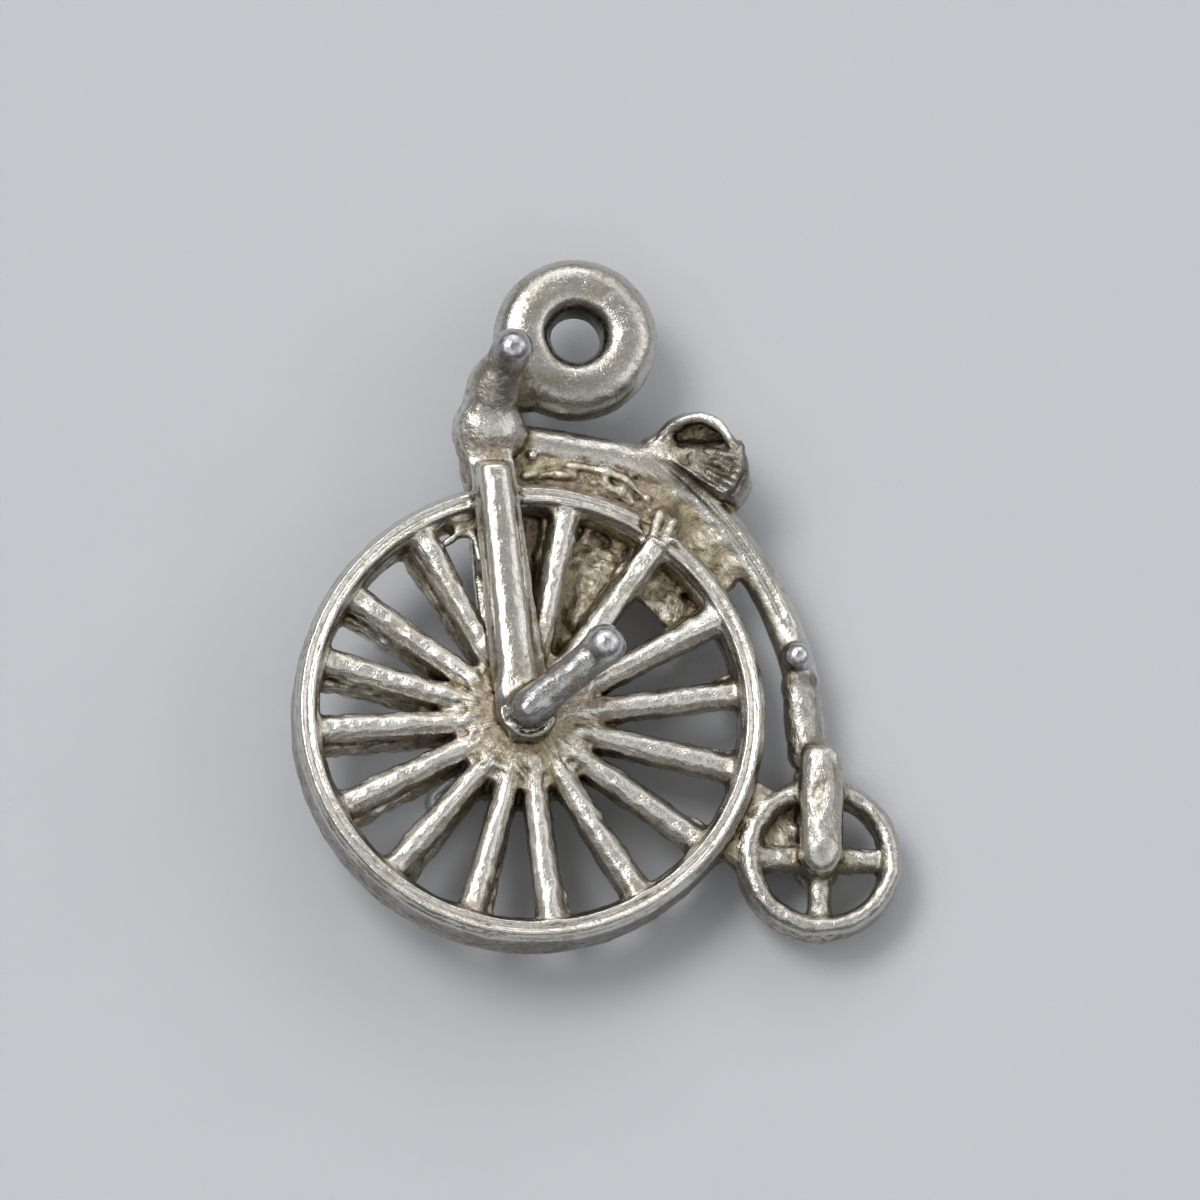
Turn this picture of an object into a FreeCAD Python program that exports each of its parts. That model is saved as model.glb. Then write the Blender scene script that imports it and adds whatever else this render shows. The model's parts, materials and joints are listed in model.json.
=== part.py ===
import FreeCAD, Part
import math
import os

# A cast silver charm in the shape of a penny farthing bicycle, with a bail ring.
# Millimetres. The charm is drawn upright in its own plane: X runs from the big wheel
# to the small one, Y runs up to the handlebar and Z runs out of the near side.
# The origin of the drawing is the centre of the big wheel's rim. At the end every
# piece is laid down as the charm rests on a table: on its far grip, its far pedal and
# the end of its far rear fork blade.
V = FreeCAD.Vector
NEAR = 1
FAR = -1

# ---- driving dimensions ------------------------------------------------------------
# big wheel
RIM_R = 7.5            # outside radius
RIM_WALL = 0.78        # radial thickness
RIM_DEPTH = 2.1        # along the axle
RIM_BEVEL = 0.22       # bevel on the rim's four edges
HUB_X = -0.15          # the hub was cast a little off the rim's centre
HUB_Y = -0.20
HUB_R = 1.85           # radius where the spokes leave the hub
HUB_NOSE_R = 0.95      # radius of the hub's flat end
HUB_STEP = 0.13        # how far the hub's shoulder lies below the rim's face
SPOKE_ROOT_W = 0.54    # width of a near spoke at the hub and at the rim
SPOKE_TIP_W = 0.76
SPOKE_FAR_ROOT_W = 0.46  # and of a far spoke
SPOKE_FAR_TIP_W = 0.64
SPOKE_HUB_STEP = 0.15  # how far a near spoke's crest lies below the rim's face at the hub
SPOKE_FAR_STEP = 0.17  # and a far spoke's crest below the far face, all along
SPOKE_BEVEL = 0.20     # bevel along a near spoke's crest
SPOKE_ROOT = 0.10      # how far a spoke starts inside the hub's radius
SPOKE_TWIST = 2.75     # degrees from a near spoke to the far one behind it

# front fork, crown and steering head; rises are measured from the top of the big wheel
FORK_TOP_X = -1.27     # middle of the blades' upper ends
FORK_TOP_RISE = 0.70
FORK_TOP_W = 1.36      # width of a blade at its top
FORK_FOOT_W = 1.50     # width of a blade beside the hub
FORK_FOOT_X = -0.38    # middle of the blade beside the hub
FORK_T = 0.78          # thickness of a blade
FORK_EDGE = 0.24       # bevel on the blade's outer edges
EYE_R = 0.86           # rounded end of the blade, round the crank
EYE_START = 250.0      # degrees, where the rounding starts, lies lowest and ends
EYE_LOW = 315.0
EYE_END = 20.0
EYE_CORNER_X = -0.62   # the corner left at the blade's lower end
EYE_CORNER_Y = -1.02
EYE_SHOULDER = 1.72    # height of the blade's bend above the hub
COLLAR_R = 0.72        # raised collar round the crank on each blade
COLLAR_T = 0.14
CROWN_LOW_RISE = 0.25  # the block that joins the blades: lower and upper end
CROWN_TOP_RISE = 1.12
CROWN_W0 = 1.10        # its width at the lower and the upper end
CROWN_W1 = 1.50
CROWN_STEP = 0.25      # its ends lie this far inside the blades' outer faces
HEAD_X = -1.41
HEAD_RISE = 1.60
HEAD_R = 0.98
HEAD_HALF = 0.60       # half height of the head's knob

# cranks and pedals; distances along the axle are measured from the blade's outer face
CRANK_ANGLE = 40.4     # degrees, near crank; the far one points the other way
CRANK_LEN = 3.13
CRANK_ROOT_R = 0.55
CRANK_TIP_R = 0.45
CRANK_ROOT_OUT = 0.27  # crank's centre line at the hub
CRANK_TIP_OUT = 0.23   # and at the pedal
AXLE_R = 0.42          # round pin from the hub out through the blade into the crank
PEDAL_R = 0.56
PEDAL_OUT = 0.62

# handlebar; rises are measured from the head's centre
BAR_BASE_R = 0.80
BAR_ELBOW_R = 0.66
BAR_TIP_R = 0.48
BAR_BASE_RISE = 0.36
BAR_ELBOW_X = -1.28
BAR_ELBOW_RISE = 1.45
BAR_ELBOW_IN = 0.33    # how far the elbow lies inside the blade's outer face
BALL_FIT = 0.97        # the arms are this share of the balls that join them
GRIP_R = 0.54
GRIP_X = -0.72
GRIP_RISE = 2.41
GRIP_OUT = 0.62        # how far the grip stands outside the blade's outer face

# bail ring
RING_R = 2.60          # outside radius
RING_T = 1.90          # thickness along its bore
BORE_R = 0.86          # bore of the ring, for a jump ring
BORE_LAND = 0.90       # straight length of the bore
BORE_FLARE = 0.28      # how much wider the bore is at each face
RING_ROUND = 0.78      # rounding of the ring's outer edges
RING_GAP = 0.91        # from the neck's lower end to the ring
RING_ANGLE = 34.3      # degrees, direction from the neck's lower end to the ring's centre
STEM_R = 0.70          # neck that carries the ring on the handlebar
STEM_RISE = 1.45       # height of the neck's lower end above the head
STEM_ANGLE = 237.0     # degrees, where the neck's upper end lies round the ring

# backbone
BACKBONE_R = 0.55
BACKBONE_CLEAR = 4.8       # how much larger the long arc's radius is than the big wheel's
BACKBONE_ARC_X = -3.25
BACKBONE_ARC_Y = -1.33
BACKBONE_ARC_END = 12.0    # degrees, lower end of the long arc
BACKBONE_ARC_TOP = 44.0    # degrees, where the tighter knee begins
KNEE_R = 5.0
KNEE_TOP = 82.0            # degrees, where the knee meets the straight top tube
NECK_R = 0.47              # narrower tube between the step and the rear fork
NECK_LEAN = 0.23           # how far the neck's foot lies off the rear fork's middle
NECK_SEAT = 0.25           # how far the neck's line runs on into the rear fork's top
STEP_R = 0.45
STEP_ANGLE = 16.2          # degrees on the long arc
STEP_Z = 0.55

# saddle
SADDLE_T = 0.30            # thickness of the seat
SADDLE_ARCH = 0.22         # how far the seat's middle stands out from its edges
SADDLE_RIB = 0.30          # half thickness of the rib that carries the seat
SADDLE_STEM_X0 = 0.45      # tapered lump under the seat, nose end and tail end from the knee's top
SADDLE_STEM_X1 = 2.95
SADDLE_STEM_Y = -0.04
SADDLE_STEM_R0 = 0.42
SADDLE_STEM_R1 = 0.75

# rear wheel
REAR_Y = -4.44
REAR_R = 2.60
REAR_WALL = 0.64
REAR_DEPTH = 1.50
REAR_BEVEL = 0.20
REAR_HUB_R = 0.62
REAR_SPOKE_W = 0.62
REAR_SPOKE_Z = 0.42        # half depth of a rear spoke
REAR_SPOKE_BEVEL = 0.16
REAR_FORK_W = 1.45
REAR_FORK_T = 0.62
REAR_FORK_RISE = 0.94      # height of the blades' upper ends above the small wheel's top
REAR_FORK_TAPER = 0.55     # height of the narrowing at the upper end
REAR_FORK_TOP_W = 1.05     # width of the upper end
REAR_FORK_EDGE = 0.24
REAR_CROWN_H = 0.80        # height of the block between the blades
WHEEL_GAP = 0.187          # between the two wheels' rims

# webs left by the casting
WEB_Z0 = -0.42
WEB_Z1 = 0.30
WEB_END = 32.0         # degrees, where the sheet over the big wheel ends
PLATE_STEP = 0.13      # how far the sheets between far spokes lie below the rim's far face
PLATE_T = 0.52
LUMP_R = 0.66
LUMP_ANGLE = 56.5
LUMP_OUT = 0.10        # the lump's centre lies this far outside the rim
LUMP_Z = 0.55
BRIDGE_W = 2.5         # metal between the two wheels' rims
BRIDGE_Z = 0.50
FILL_Z0 = -0.45        # sheet in the small wheel's upper left quarter
FILL_Z1 = 0.15
FILL_EDGE = 0.75       # how far the sheet stays off the wheel's upright spoke
FILL_LOW = 0.20        # and off its level spoke

# places that follow from the sizes above
RIM_FACE = RIM_DEPTH / 2                    # the fork blades lie on the rim's faces
FORK_FACE = RIM_FACE + FORK_T
FORK_TOP_Y = RIM_R + FORK_TOP_RISE
HEAD_Y = RIM_R + HEAD_RISE
PEDAL_Z = FORK_FACE + PEDAL_OUT
GRIP_Y = HEAD_Y + GRIP_RISE
GRIP_Z = FORK_FACE + GRIP_OUT
STEM_Y = HEAD_Y + STEM_RISE
RING_X = HEAD_X + (RING_GAP + RING_R) * math.cos(math.radians(RING_ANGLE))
RING_Y = STEM_Y + (RING_GAP + RING_R) * math.sin(math.radians(RING_ANGLE))
BACKBONE_ARC_R = RIM_R + BACKBONE_CLEAR
REAR_X = math.sqrt((RIM_R + REAR_R + WHEEL_GAP) ** 2 - REAR_Y ** 2)
REAR_FACE = REAR_DEPTH / 2
REAR_FORK_TOP = REAR_Y + REAR_R + REAR_FORK_RISE

# near spokes: angle in degrees, how far the crest lies below the rim's face at the rim
SPOKES = (
    (9.2, 0.43),
    (29.6, 0.17),
    (53.9, 0.05),
    (79.2, 0.15),
    (97.0, 0.45),
    (119.0, 0.15),
    (144.0, 0.39),
    (163.8, 0.45),
    (183.4, 0.45),
    (206.6, 0.43),
    (229.7, 0.35),
    (254.8, 0.31),
    (277.5, 0.13),
    (302.7, 0.13),
    (325.5, 0.39),
    (348.1, 0.43),
)
BROKEN_SPOKE = 0       # index of the spoke whose far half broke off in the mould
BROKEN_LEN = 4.05      # where its stub ends, from the hub's centre
BROKEN_STUMP = 0.45    # length of the stump left on the rim


# ---- helpers -----------------------------------------------------------------------
def polar(radius, degrees, cx=0.0, cy=0.0, z=0.0):
    a = math.radians(degrees)
    return V(cx + radius * math.cos(a), cy + radius * math.sin(a), z)


def disc(radius, z0, z1, cx=0.0, cy=0.0):
    return Part.makeCylinder(radius, z1 - z0, V(cx, cy, z0))


def prism(points, z0, z1):
    """Straight-sided solid over a closed outline of (x, y) points."""
    wire = Part.makePolygon([V(x, y, z0) for x, y in points + points[:1]])
    return Part.Face(wire).extrude(V(0, 0, z1 - z0))


def turned(profile, cx=0.0, cy=0.0):
    """Solid of revolution about Z from (radius, z) corners on the axis's right."""
    wire = Part.makePolygon([V(cx + r, cy, z) for r, z in profile + profile[:1]])
    return Part.Face(wire).revolve(V(cx, cy, 0), V(0, 0, 1), 360)


def edges_where(shape, test):
    return [edge for edge in shape.Edges if test(edge)]


def rod(p, q, radius_p, radius_q):
    """Round rod from p to q, tapering from one radius to the other."""
    axis = q - p
    if abs(radius_p - radius_q) < 1e-6:
        return Part.makeCylinder(radius_p, axis.Length, p, axis)
    return Part.makeCone(radius_p, radius_q, axis.Length, p, axis)


def tapered_capsule(p, q, radius_p, radius_q):
    """Tapered round bar with a tangent ball at each end, turned about its own axis."""
    length = (q - p).Length
    lean = math.asin((radius_p - radius_q) / length)
    side, rise = math.cos(lean), math.sin(lean)
    middle = math.sqrt(0.5)
    start, end = V(0, 0, -radius_p), V(0, 0, length + radius_q)
    low = V(radius_p * side, 0, radius_p * rise)
    high = V(radius_q * side, 0, length + radius_q * rise)
    profile = Part.Wire([
        Part.Arc(start, V(radius_p * middle, 0, -radius_p * middle), low).toShape(),
        Part.makeLine(low, high),
        Part.Arc(high, V(radius_q * middle, 0, length + radius_q * middle), end).toShape(),
        Part.makeLine(end, start)])
    solid = Part.Face(profile).revolve(V(0, 0, 0), V(0, 0, 1), 360)
    turn = FreeCAD.Rotation(V(0, 0, 1), q - p)
    return solid.transformed(FreeCAD.Placement(p, turn).toMatrix())


def mirrored(shape):
    """The same piece on the far side."""
    return shape.mirror(V(0, 0, 0), V(0, 0, 1))


def bevelled(solid, size, test):
    """The solid with a flat bevel along the edges that pass the test."""
    return solid.makeChamfer(size, edges_where(solid, test))


def solids_of(shape):
    """One shape holding only the solids of a cut or fused shape."""
    solids = shape.Solids
    return solids[0] if len(solids) == 1 else Part.Compound(solids)


def wheel_ring(radius, wall, depth, bevel, cx, cy):
    """Rim with a flat face and bevelled edges on both sides."""
    inner, half = radius - wall, depth / 2
    return turned([(inner, -half + bevel), (inner + bevel, -half), (radius - bevel, -half),
                   (radius, -half + bevel), (radius, half - bevel), (radius - bevel, half),
                   (inner + bevel, half), (inner, half - bevel)], cx, cy)


# ---- big wheel ---------------------------------------------------------------------
def front_rim():
    return wheel_ring(RIM_R, RIM_WALL, RIM_DEPTH, RIM_BEVEL, 0, 0)


def front_hub():
    shoulder = RIM_FACE - HUB_STEP
    profile = [(0, -RIM_FACE), (HUB_NOSE_R, -RIM_FACE), (HUB_R, -shoulder),
               (HUB_R, shoulder), (HUB_NOSE_R, RIM_FACE), (0, RIM_FACE)]
    return turned(profile, HUB_X, HUB_Y)


def spoke_bar(start, end, width, z0, z1):
    """Bar along +X between two distances; width and z1 give its size at the start and at the end."""
    ends = []
    for x, w, z in zip((start, end), width, z1):
        ends.append(Part.makePolygon([V(x, -w / 2, z0), V(x, w / 2, z0), V(x, w / 2, z), V(x, -w / 2, z),
                                      V(x, -w / 2, z0)]))
    return Part.makeLoft(ends, True, True)


def width_at(distance, root_w, tip_w):
    """Width of a spoke that widens evenly from the hub to the rim."""
    share = (distance - HUB_R) / (RIM_R - HUB_R)
    return root_w + (tip_w - root_w) * share


def placed_on_hub(shape, angle):
    shape = shape.copy()
    shape.rotate(V(0, 0, 0), V(0, 0, 1), angle)
    shape.translate(V(HUB_X, HUB_Y, 0))
    return shape


def trimmed_spoke(bar, angle, rim, hub):
    """Spoke laid along its line and trimmed to seat on the hub and inside the rim."""
    inside = disc(RIM_R - RIM_WALL / 2, -RIM_DEPTH, RIM_DEPTH)
    return placed_on_hub(bar, angle).common(inside).cut(hub).cut(rim)


def is_crest(edge):
    """True for the two long upper edges of a spoke lying along +X."""
    return edge.BoundBox.XLength > 1 and edge.BoundBox.ZMin > 0.3


def spokes_near(rim, hub):
    """Sixteen bars with bevelled crests, from the hub out to the rim."""
    bars = []
    root, tip = HUB_R - SPOKE_ROOT, RIM_R
    width = [width_at(r, SPOKE_ROOT_W, SPOKE_TIP_W) for r in (root, tip)]
    for angle, step in SPOKES:
        bar = spoke_bar(root, tip, width, 0, (RIM_FACE - SPOKE_HUB_STEP, RIM_FACE - step))
        bar = bevelled(bar, SPOKE_BEVEL, is_crest)
        bars.append(trimmed_spoke(bar, angle, rim, hub))
    return bars


def spokes_far(rim, hub):
    """The thinner far halves, turned a little against the near ones; one broke in the mould."""
    bars = []
    root, tip = HUB_R - SPOKE_ROOT, RIM_R
    far_z = SPOKE_FAR_STEP - RIM_FACE
    for index, (angle, _) in enumerate(SPOKES):
        spans = [(root, tip)]
        if index == BROKEN_SPOKE:
            spans = [(root, BROKEN_LEN), (RIM_R - RIM_WALL - BROKEN_STUMP, tip)]
        for span in spans:
            width = [width_at(r, SPOKE_FAR_ROOT_W, SPOKE_FAR_TIP_W) for r in span]
            bar = spoke_bar(*span, width, far_z, (0, 0))
            bars.append(trimmed_spoke(bar, angle + SPOKE_TWIST, rim, hub))
    return bars


# ---- front fork, crown, head -------------------------------------------------------
def fork_near():
    """Tapering blade whose lower end is rounded about the crank, with one corner left on it."""
    top, foot = FORK_TOP_W / 2, FORK_FOOT_W / 2
    corner = V(EYE_CORNER_X, EYE_CORNER_Y, RIM_FACE)
    eye_start = polar(EYE_R, EYE_START, HUB_X, HUB_Y, RIM_FACE)
    eye_end = polar(EYE_R, EYE_END, HUB_X, HUB_Y, RIM_FACE)
    corners = [eye_end, V(FORK_FOOT_X + foot, HUB_Y + EYE_SHOULDER, RIM_FACE),
               V(FORK_TOP_X + top, FORK_TOP_Y, RIM_FACE), V(FORK_TOP_X - top, FORK_TOP_Y, RIM_FACE),
               V(FORK_FOOT_X - foot, HUB_Y, RIM_FACE), corner, eye_start]
    edges = [Part.makeLine(p, q) for p, q in zip(corners, corners[1:])]
    eye = Part.Arc(eye_start, polar(EYE_R, EYE_LOW, HUB_X, HUB_Y, RIM_FACE), eye_end).toShape()
    solid = Part.Face(Part.Wire(edges + [eye])).extrude(V(0, 0, FORK_T))
    solid = bevelled(solid, FORK_EDGE, lambda e: e.BoundBox.ZMin > FORK_FACE - 1e-3)
    return solid.fuse(disc(COLLAR_R, RIM_FACE, FORK_FACE + COLLAR_T, HUB_X, HUB_Y))


def fork_crown():
    """Block that joins the two blades over the top of the wheel."""
    low, high = CROWN_W0 / 2, CROWN_W1 / 2
    low_y, top_y = RIM_R + CROWN_LOW_RISE, RIM_R + CROWN_TOP_RISE
    half = FORK_FACE - CROWN_STEP
    return prism([(FORK_TOP_X - low, low_y), (FORK_TOP_X + low, low_y),
                  (HEAD_X + high, top_y), (HEAD_X - high, top_y)], -half, half)


def steering_head():
    """Flattened ball under the handlebar."""
    ball = Part.makeSphere(HEAD_R, V(HEAD_X, HEAD_Y, 0))
    return ball.common(Part.makeBox(4 * HEAD_R, 2 * HEAD_HALF, 4 * HEAD_R,
                                    V(HEAD_X - 2 * HEAD_R, HEAD_Y - HEAD_HALF, -2 * HEAD_R)))


# ---- handlebar ---------------------------------------------------------------------
def grip_centre():
    return V(GRIP_X, GRIP_Y, GRIP_Z)


def grip_near():
    return Part.makeSphere(GRIP_R, grip_centre())


def handlebar():
    """Both arms in one piece, joined over the head."""
    base = V(HEAD_X, HEAD_Y + BAR_BASE_RISE, 0)
    elbow = V(BAR_ELBOW_X, HEAD_Y + BAR_ELBOW_RISE, FORK_FACE - BAR_ELBOW_IN)
    arm = rod(base, elbow, BAR_BASE_R * BALL_FIT, BAR_ELBOW_R * BALL_FIT)
    arm = arm.fuse(rod(elbow, grip_centre(), BAR_ELBOW_R * BALL_FIT, BAR_TIP_R))
    arm = arm.fuse(Part.makeSphere(BAR_ELBOW_R, elbow))
    return arm.fuse(mirrored(arm)).fuse(Part.makeSphere(BAR_BASE_R, base))


# ---- bail ring ---------------------------------------------------------------------
def bail_ring():
    half = RING_T / 2
    body = disc(RING_R, -half, half, RING_X, RING_Y)
    rims = edges_where(body, lambda e: isinstance(e.Curve, Part.Circle) and e.isClosed())
    body = body.makeFillet(RING_ROUND, rims)
    body = body.cut(disc(BORE_R, -half, half, RING_X, RING_Y))
    land_top = BORE_LAND / 2
    flare = Part.makeCone(BORE_R, BORE_R + BORE_FLARE, half - land_top, V(RING_X, RING_Y, land_top))
    return body.cut(flare).cut(flare.mirror(V(RING_X, RING_Y, 0), V(0, 0, 1)))


def bail_stem():
    """Short neck that carries the ring on the handlebar's root."""
    start = V(HEAD_X, STEM_Y, 0)
    end = polar((RING_R + BORE_R) / 2, STEM_ANGLE, RING_X, RING_Y)
    return rod(start, end, STEM_R, STEM_R)


# ---- backbone ----------------------------------------------------------------------
def arc_point(degrees, z=0.0):
    return polar(BACKBONE_ARC_R, degrees, BACKBONE_ARC_X, BACKBONE_ARC_Y, z)


def knee_centre():
    top = arc_point(BACKBONE_ARC_TOP)
    return top - polar(KNEE_R, BACKBONE_ARC_TOP)


def knee_top_point():
    """Where the straight top tube meets the knee."""
    return knee_centre() + polar(KNEE_R, KNEE_TOP)


def bend(centre, start, sweep, radius):
    """Round tube of one radius along an arc in the charm's plane, from its start point."""
    tangent = V(start.y - centre.y, centre.x - start.x, 0)
    section = Part.Face(Part.Wire([Part.makeCircle(radius, start, tangent)]))
    return section.revolve(centre, V(0, 0, 1), sweep)


def backbone():
    """Top tube, knee and the long arc down towards the small wheel."""
    centre = V(BACKBONE_ARC_X, BACKBONE_ARC_Y, 0)
    knee = knee_centre()
    knee_top = knee_top_point()
    slope = math.radians(KNEE_TOP + 90)
    length = (HEAD_X - knee_top.x) / math.cos(slope)
    head = knee_top + V(math.cos(slope), math.sin(slope), 0) * length
    top_tube = rod(head, knee_top, BACKBONE_R, BACKBONE_R)
    knee_bend = bend(knee, knee_top, BACKBONE_ARC_TOP - KNEE_TOP, BACKBONE_R)
    long_bend = bend(centre, arc_point(BACKBONE_ARC_TOP), BACKBONE_ARC_END - BACKBONE_ARC_TOP, BACKBONE_R)
    return top_tube.fuse(knee_bend).fuse(long_bend)


def neck():
    """Narrow tube on the one arc that leaves the long arc smoothly and ends over the rear fork."""
    start = arc_point(BACKBONE_ARC_END)
    end = V(REAR_X - NECK_LEAN, REAR_FORK_TOP - NECK_SEAT, 0)
    chord = end - start
    inward = polar(-1, BACKBONE_ARC_END)
    radius = chord.Length ** 2 / (2 * chord.dot(inward))
    sweep = -2 * math.degrees(math.asin(chord.Length / (2 * radius)))
    return bend(start + inward * radius, start, sweep, NECK_R)


def step_ball():
    return Part.makeSphere(STEP_R, arc_point(STEP_ANGLE, STEP_Z))


# ---- saddle ------------------------------------------------------------------------
# the seat's edge from nose to tail: X and Y from the knee's top, half width of the seat
SADDLE_SECTIONS = (
    (1.12, 0.46, 0.30),
    (1.78, 0.94, 0.60),
    (2.46, 1.23, 0.95),
    (2.98, 1.18, 1.15),
    (3.53, 0.67, 1.35),
    (4.10, -0.39, 1.40),
    (3.78, -1.56, 1.15),
)


def saddle_edge():
    """Points of the seat's edge in the charm's plane."""
    top = knee_top_point()
    return [V(top.x + x, top.y + y, 0) for x, y, _ in SADDLE_SECTIONS]


def saddle():
    """Thin arched seat that curls down behind, as a loft across the sections of its edge."""
    edge = saddle_edge()
    wires = []
    for index, (_, _, half) in enumerate(SADDLE_SECTIONS):
        before, after = edge[max(index - 1, 0)], edge[min(index + 1, len(edge) - 1)]
        along = (after - before).normalize()
        out = V(-along.y, along.x, 0)
        side = V(0, 0, half)
        inner_side = V(0, 0, half - min(SADDLE_T, half) / 2)
        low = edge[index] - out * SADDLE_T
        outer = Part.Arc(edge[index] - side, edge[index] + out * SADDLE_ARCH, edge[index] + side)
        inner = Part.Arc(low + inner_side, low + out * SADDLE_ARCH, low - inner_side)
        wires.append(Part.Wire([outer.toShape(), Part.makeLine(edge[index] + side, low + inner_side),
                                inner.toShape(), Part.makeLine(low - inner_side, edge[index] - side)]))
    return Part.makeLoft(wires, True, False)


def saddle_stem():
    """Tapered lump that stands on the backbone, with the rib that rises from it to the seat."""
    top = knee_top_point()
    y = top.y + SADDLE_STEM_Y
    nose, tail = V(top.x + SADDLE_STEM_X0, y, 0), V(top.x + SADDLE_STEM_X1, y, 0)
    lump = rod(nose, tail, SADDLE_STEM_R0, SADDLE_STEM_R1)
    foot = arc_point(BACKBONE_ARC_TOP)
    outline = [(p.x, p.y) for p in saddle_edge()]
    rib = prism([(nose.x, y)] + outline + [(foot.x, foot.y)], -SADDLE_RIB, SADDLE_RIB)
    return lump.fuse(rib)


# ---- rear wheel --------------------------------------------------------------------
def rear_rim():
    return wheel_ring(REAR_R, REAR_WALL, REAR_DEPTH, REAR_BEVEL, REAR_X, REAR_Y)


def rear_hub():
    return disc(REAR_HUB_R, -REAR_FACE, REAR_FACE, REAR_X, REAR_Y)


def rear_spokes(rim, hub):
    bars = []
    half = REAR_SPOKE_W / 2
    inside = disc(REAR_R - REAR_WALL / 2, -REAR_DEPTH, REAR_DEPTH, REAR_X, REAR_Y)
    for angle in (0, 90, 180, 270):
        bar = Part.makeBox(REAR_R, REAR_SPOKE_W, 2 * REAR_SPOKE_Z, V(0, -half, -REAR_SPOKE_Z))
        bar = bevelled(bar, REAR_SPOKE_BEVEL, lambda e: e.BoundBox.XLength > REAR_R / 2)
        bar.rotate(V(0, 0, 0), V(0, 0, 1), angle)
        bar.translate(V(REAR_X, REAR_Y, 0))
        bars.append(bar.common(inside).cut(rim).cut(hub))
    return bars


def rear_fill(rim, spokes):
    """Sheet of metal that partly closes the small wheel's upper left quarter."""
    sheet = disc(REAR_R - REAR_WALL / 2, FILL_Z0, FILL_Z1, REAR_X, REAR_Y)
    left, right = REAR_X - REAR_R, REAR_X - FILL_EDGE
    low, high = REAR_Y + FILL_LOW, REAR_Y + REAR_R
    quarter = prism([(left, low), (right, low), (right, high), (left, high)], FILL_Z0, FILL_Z1)
    sheet = sheet.common(quarter)
    for bar in spokes:
        sheet = sheet.cut(bar)
    return sheet.cut(rim)


def rear_fork_near():
    """Round-ended blade that narrows at its top into the neck."""
    half, top, z0 = REAR_FORK_W / 2, REAR_FORK_TOP_W / 2, REAR_FACE
    shoulder = REAR_FORK_TOP - REAR_FORK_TAPER
    corners = [V(REAR_X - half, REAR_Y, z0), V(REAR_X - half, shoulder, z0),
               V(REAR_X - top, REAR_FORK_TOP, z0), V(REAR_X + top, REAR_FORK_TOP, z0),
               V(REAR_X + half, shoulder, z0), V(REAR_X + half, REAR_Y, z0)]
    edges = [Part.makeLine(p, q) for p, q in zip(corners, corners[1:])]
    edges.append(Part.Arc(corners[-1], V(REAR_X, REAR_Y - half, z0), corners[0]).toShape())
    solid = Part.Face(Part.Wire(edges)).extrude(V(0, 0, REAR_FORK_T))
    face_z = z0 + REAR_FORK_T
    return bevelled(solid, REAR_FORK_EDGE, lambda e: e.BoundBox.ZMin > face_z - 1e-3)


def rear_fork_crown():
    """Block between the rear fork blades, above the small wheel, under the neck."""
    half, z = REAR_FORK_TOP_W / 2, REAR_FACE
    low, high = REAR_FORK_TOP - REAR_CROWN_H, REAR_FORK_TOP
    return prism([(REAR_X - half, low), (REAR_X + half, low),
                  (REAR_X + half, high), (REAR_X - half, high)], -z, z)


# ---- cranks and pedals -------------------------------------------------------------
def pedal_centre():
    return polar(CRANK_LEN, CRANK_ANGLE, HUB_X, HUB_Y, PEDAL_Z)


def crank_near():
    """Tapered bar with round ends, carried by a pin from the hub."""
    root = V(HUB_X, HUB_Y, FORK_FACE + CRANK_ROOT_OUT)
    tip = polar(CRANK_LEN, CRANK_ANGLE, HUB_X, HUB_Y, FORK_FACE + CRANK_TIP_OUT)
    bar = tapered_capsule(root, tip, CRANK_ROOT_R, CRANK_TIP_R)
    return bar.fuse(disc(AXLE_R, RIM_FACE, root.z, HUB_X, HUB_Y))


def half_turn(shape):
    """The piece on the far side, half a turn round the axle."""
    far = mirrored(shape)
    far.rotate(V(HUB_X, HUB_Y, 0), V(0, 0, 1), 180)
    return far


# ---- webs --------------------------------------------------------------------------
def rim_web():
    """Rough sheet between the big wheel's top and the backbone's middle line."""
    knee = knee_centre()
    spine = [arc_point(WEB_END), arc_point(BACKBONE_ARC_TOP),
             knee + polar(KNEE_R, (KNEE_TOP + BACKBONE_ARC_TOP) / 2), knee_top_point()]
    foot = polar(RIM_R - RIM_WALL, WEB_END, 0, 0)
    outline = [(FORK_TOP_X, RIM_R - RIM_WALL), (0, 0), (foot.x, foot.y)]
    outline += [(p.x, p.y) for p in spine] + [(FORK_TOP_X, HEAD_Y)]
    return prism(outline, WEB_Z0, WEB_Z1).cut(disc(RIM_R, WEB_Z0, WEB_Z1))


# thin sheets left between some far spokes: first and last angle, how far they reach
# inward from the rim's outside, or 0 if they reach the hub
PLATES = (
    (54, 80, 0),
    (80, 97, 0),
    (30, 54, 2.0),
)


def spoke_plates():
    sheets = []
    z0 = PLATE_STEP - RIM_FACE
    z1 = z0 + PLATE_T
    outer = RIM_R - RIM_WALL / 2
    for a0, a1, reach in PLATES:
        fan = [polar(2 * RIM_R, a, HUB_X, HUB_Y) for a in (a0, (a0 + a1) / 2, a1)]
        sector = prism([(HUB_X, HUB_Y)] + [(p.x, p.y) for p in fan], z0, z1)
        sheet = sector.common(disc(outer, z0, z1))
        if reach:
            sheet = sheet.cut(disc(RIM_R - reach, z0, z1))
        sheets.append(sheet)
    return sheets


def web_lump():
    """Rounded lump where the steep spoke runs over the rim into the web."""
    return Part.makeSphere(LUMP_R, polar(RIM_R + LUMP_OUT, LUMP_ANGLE, 0, 0, LUMP_Z))


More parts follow.
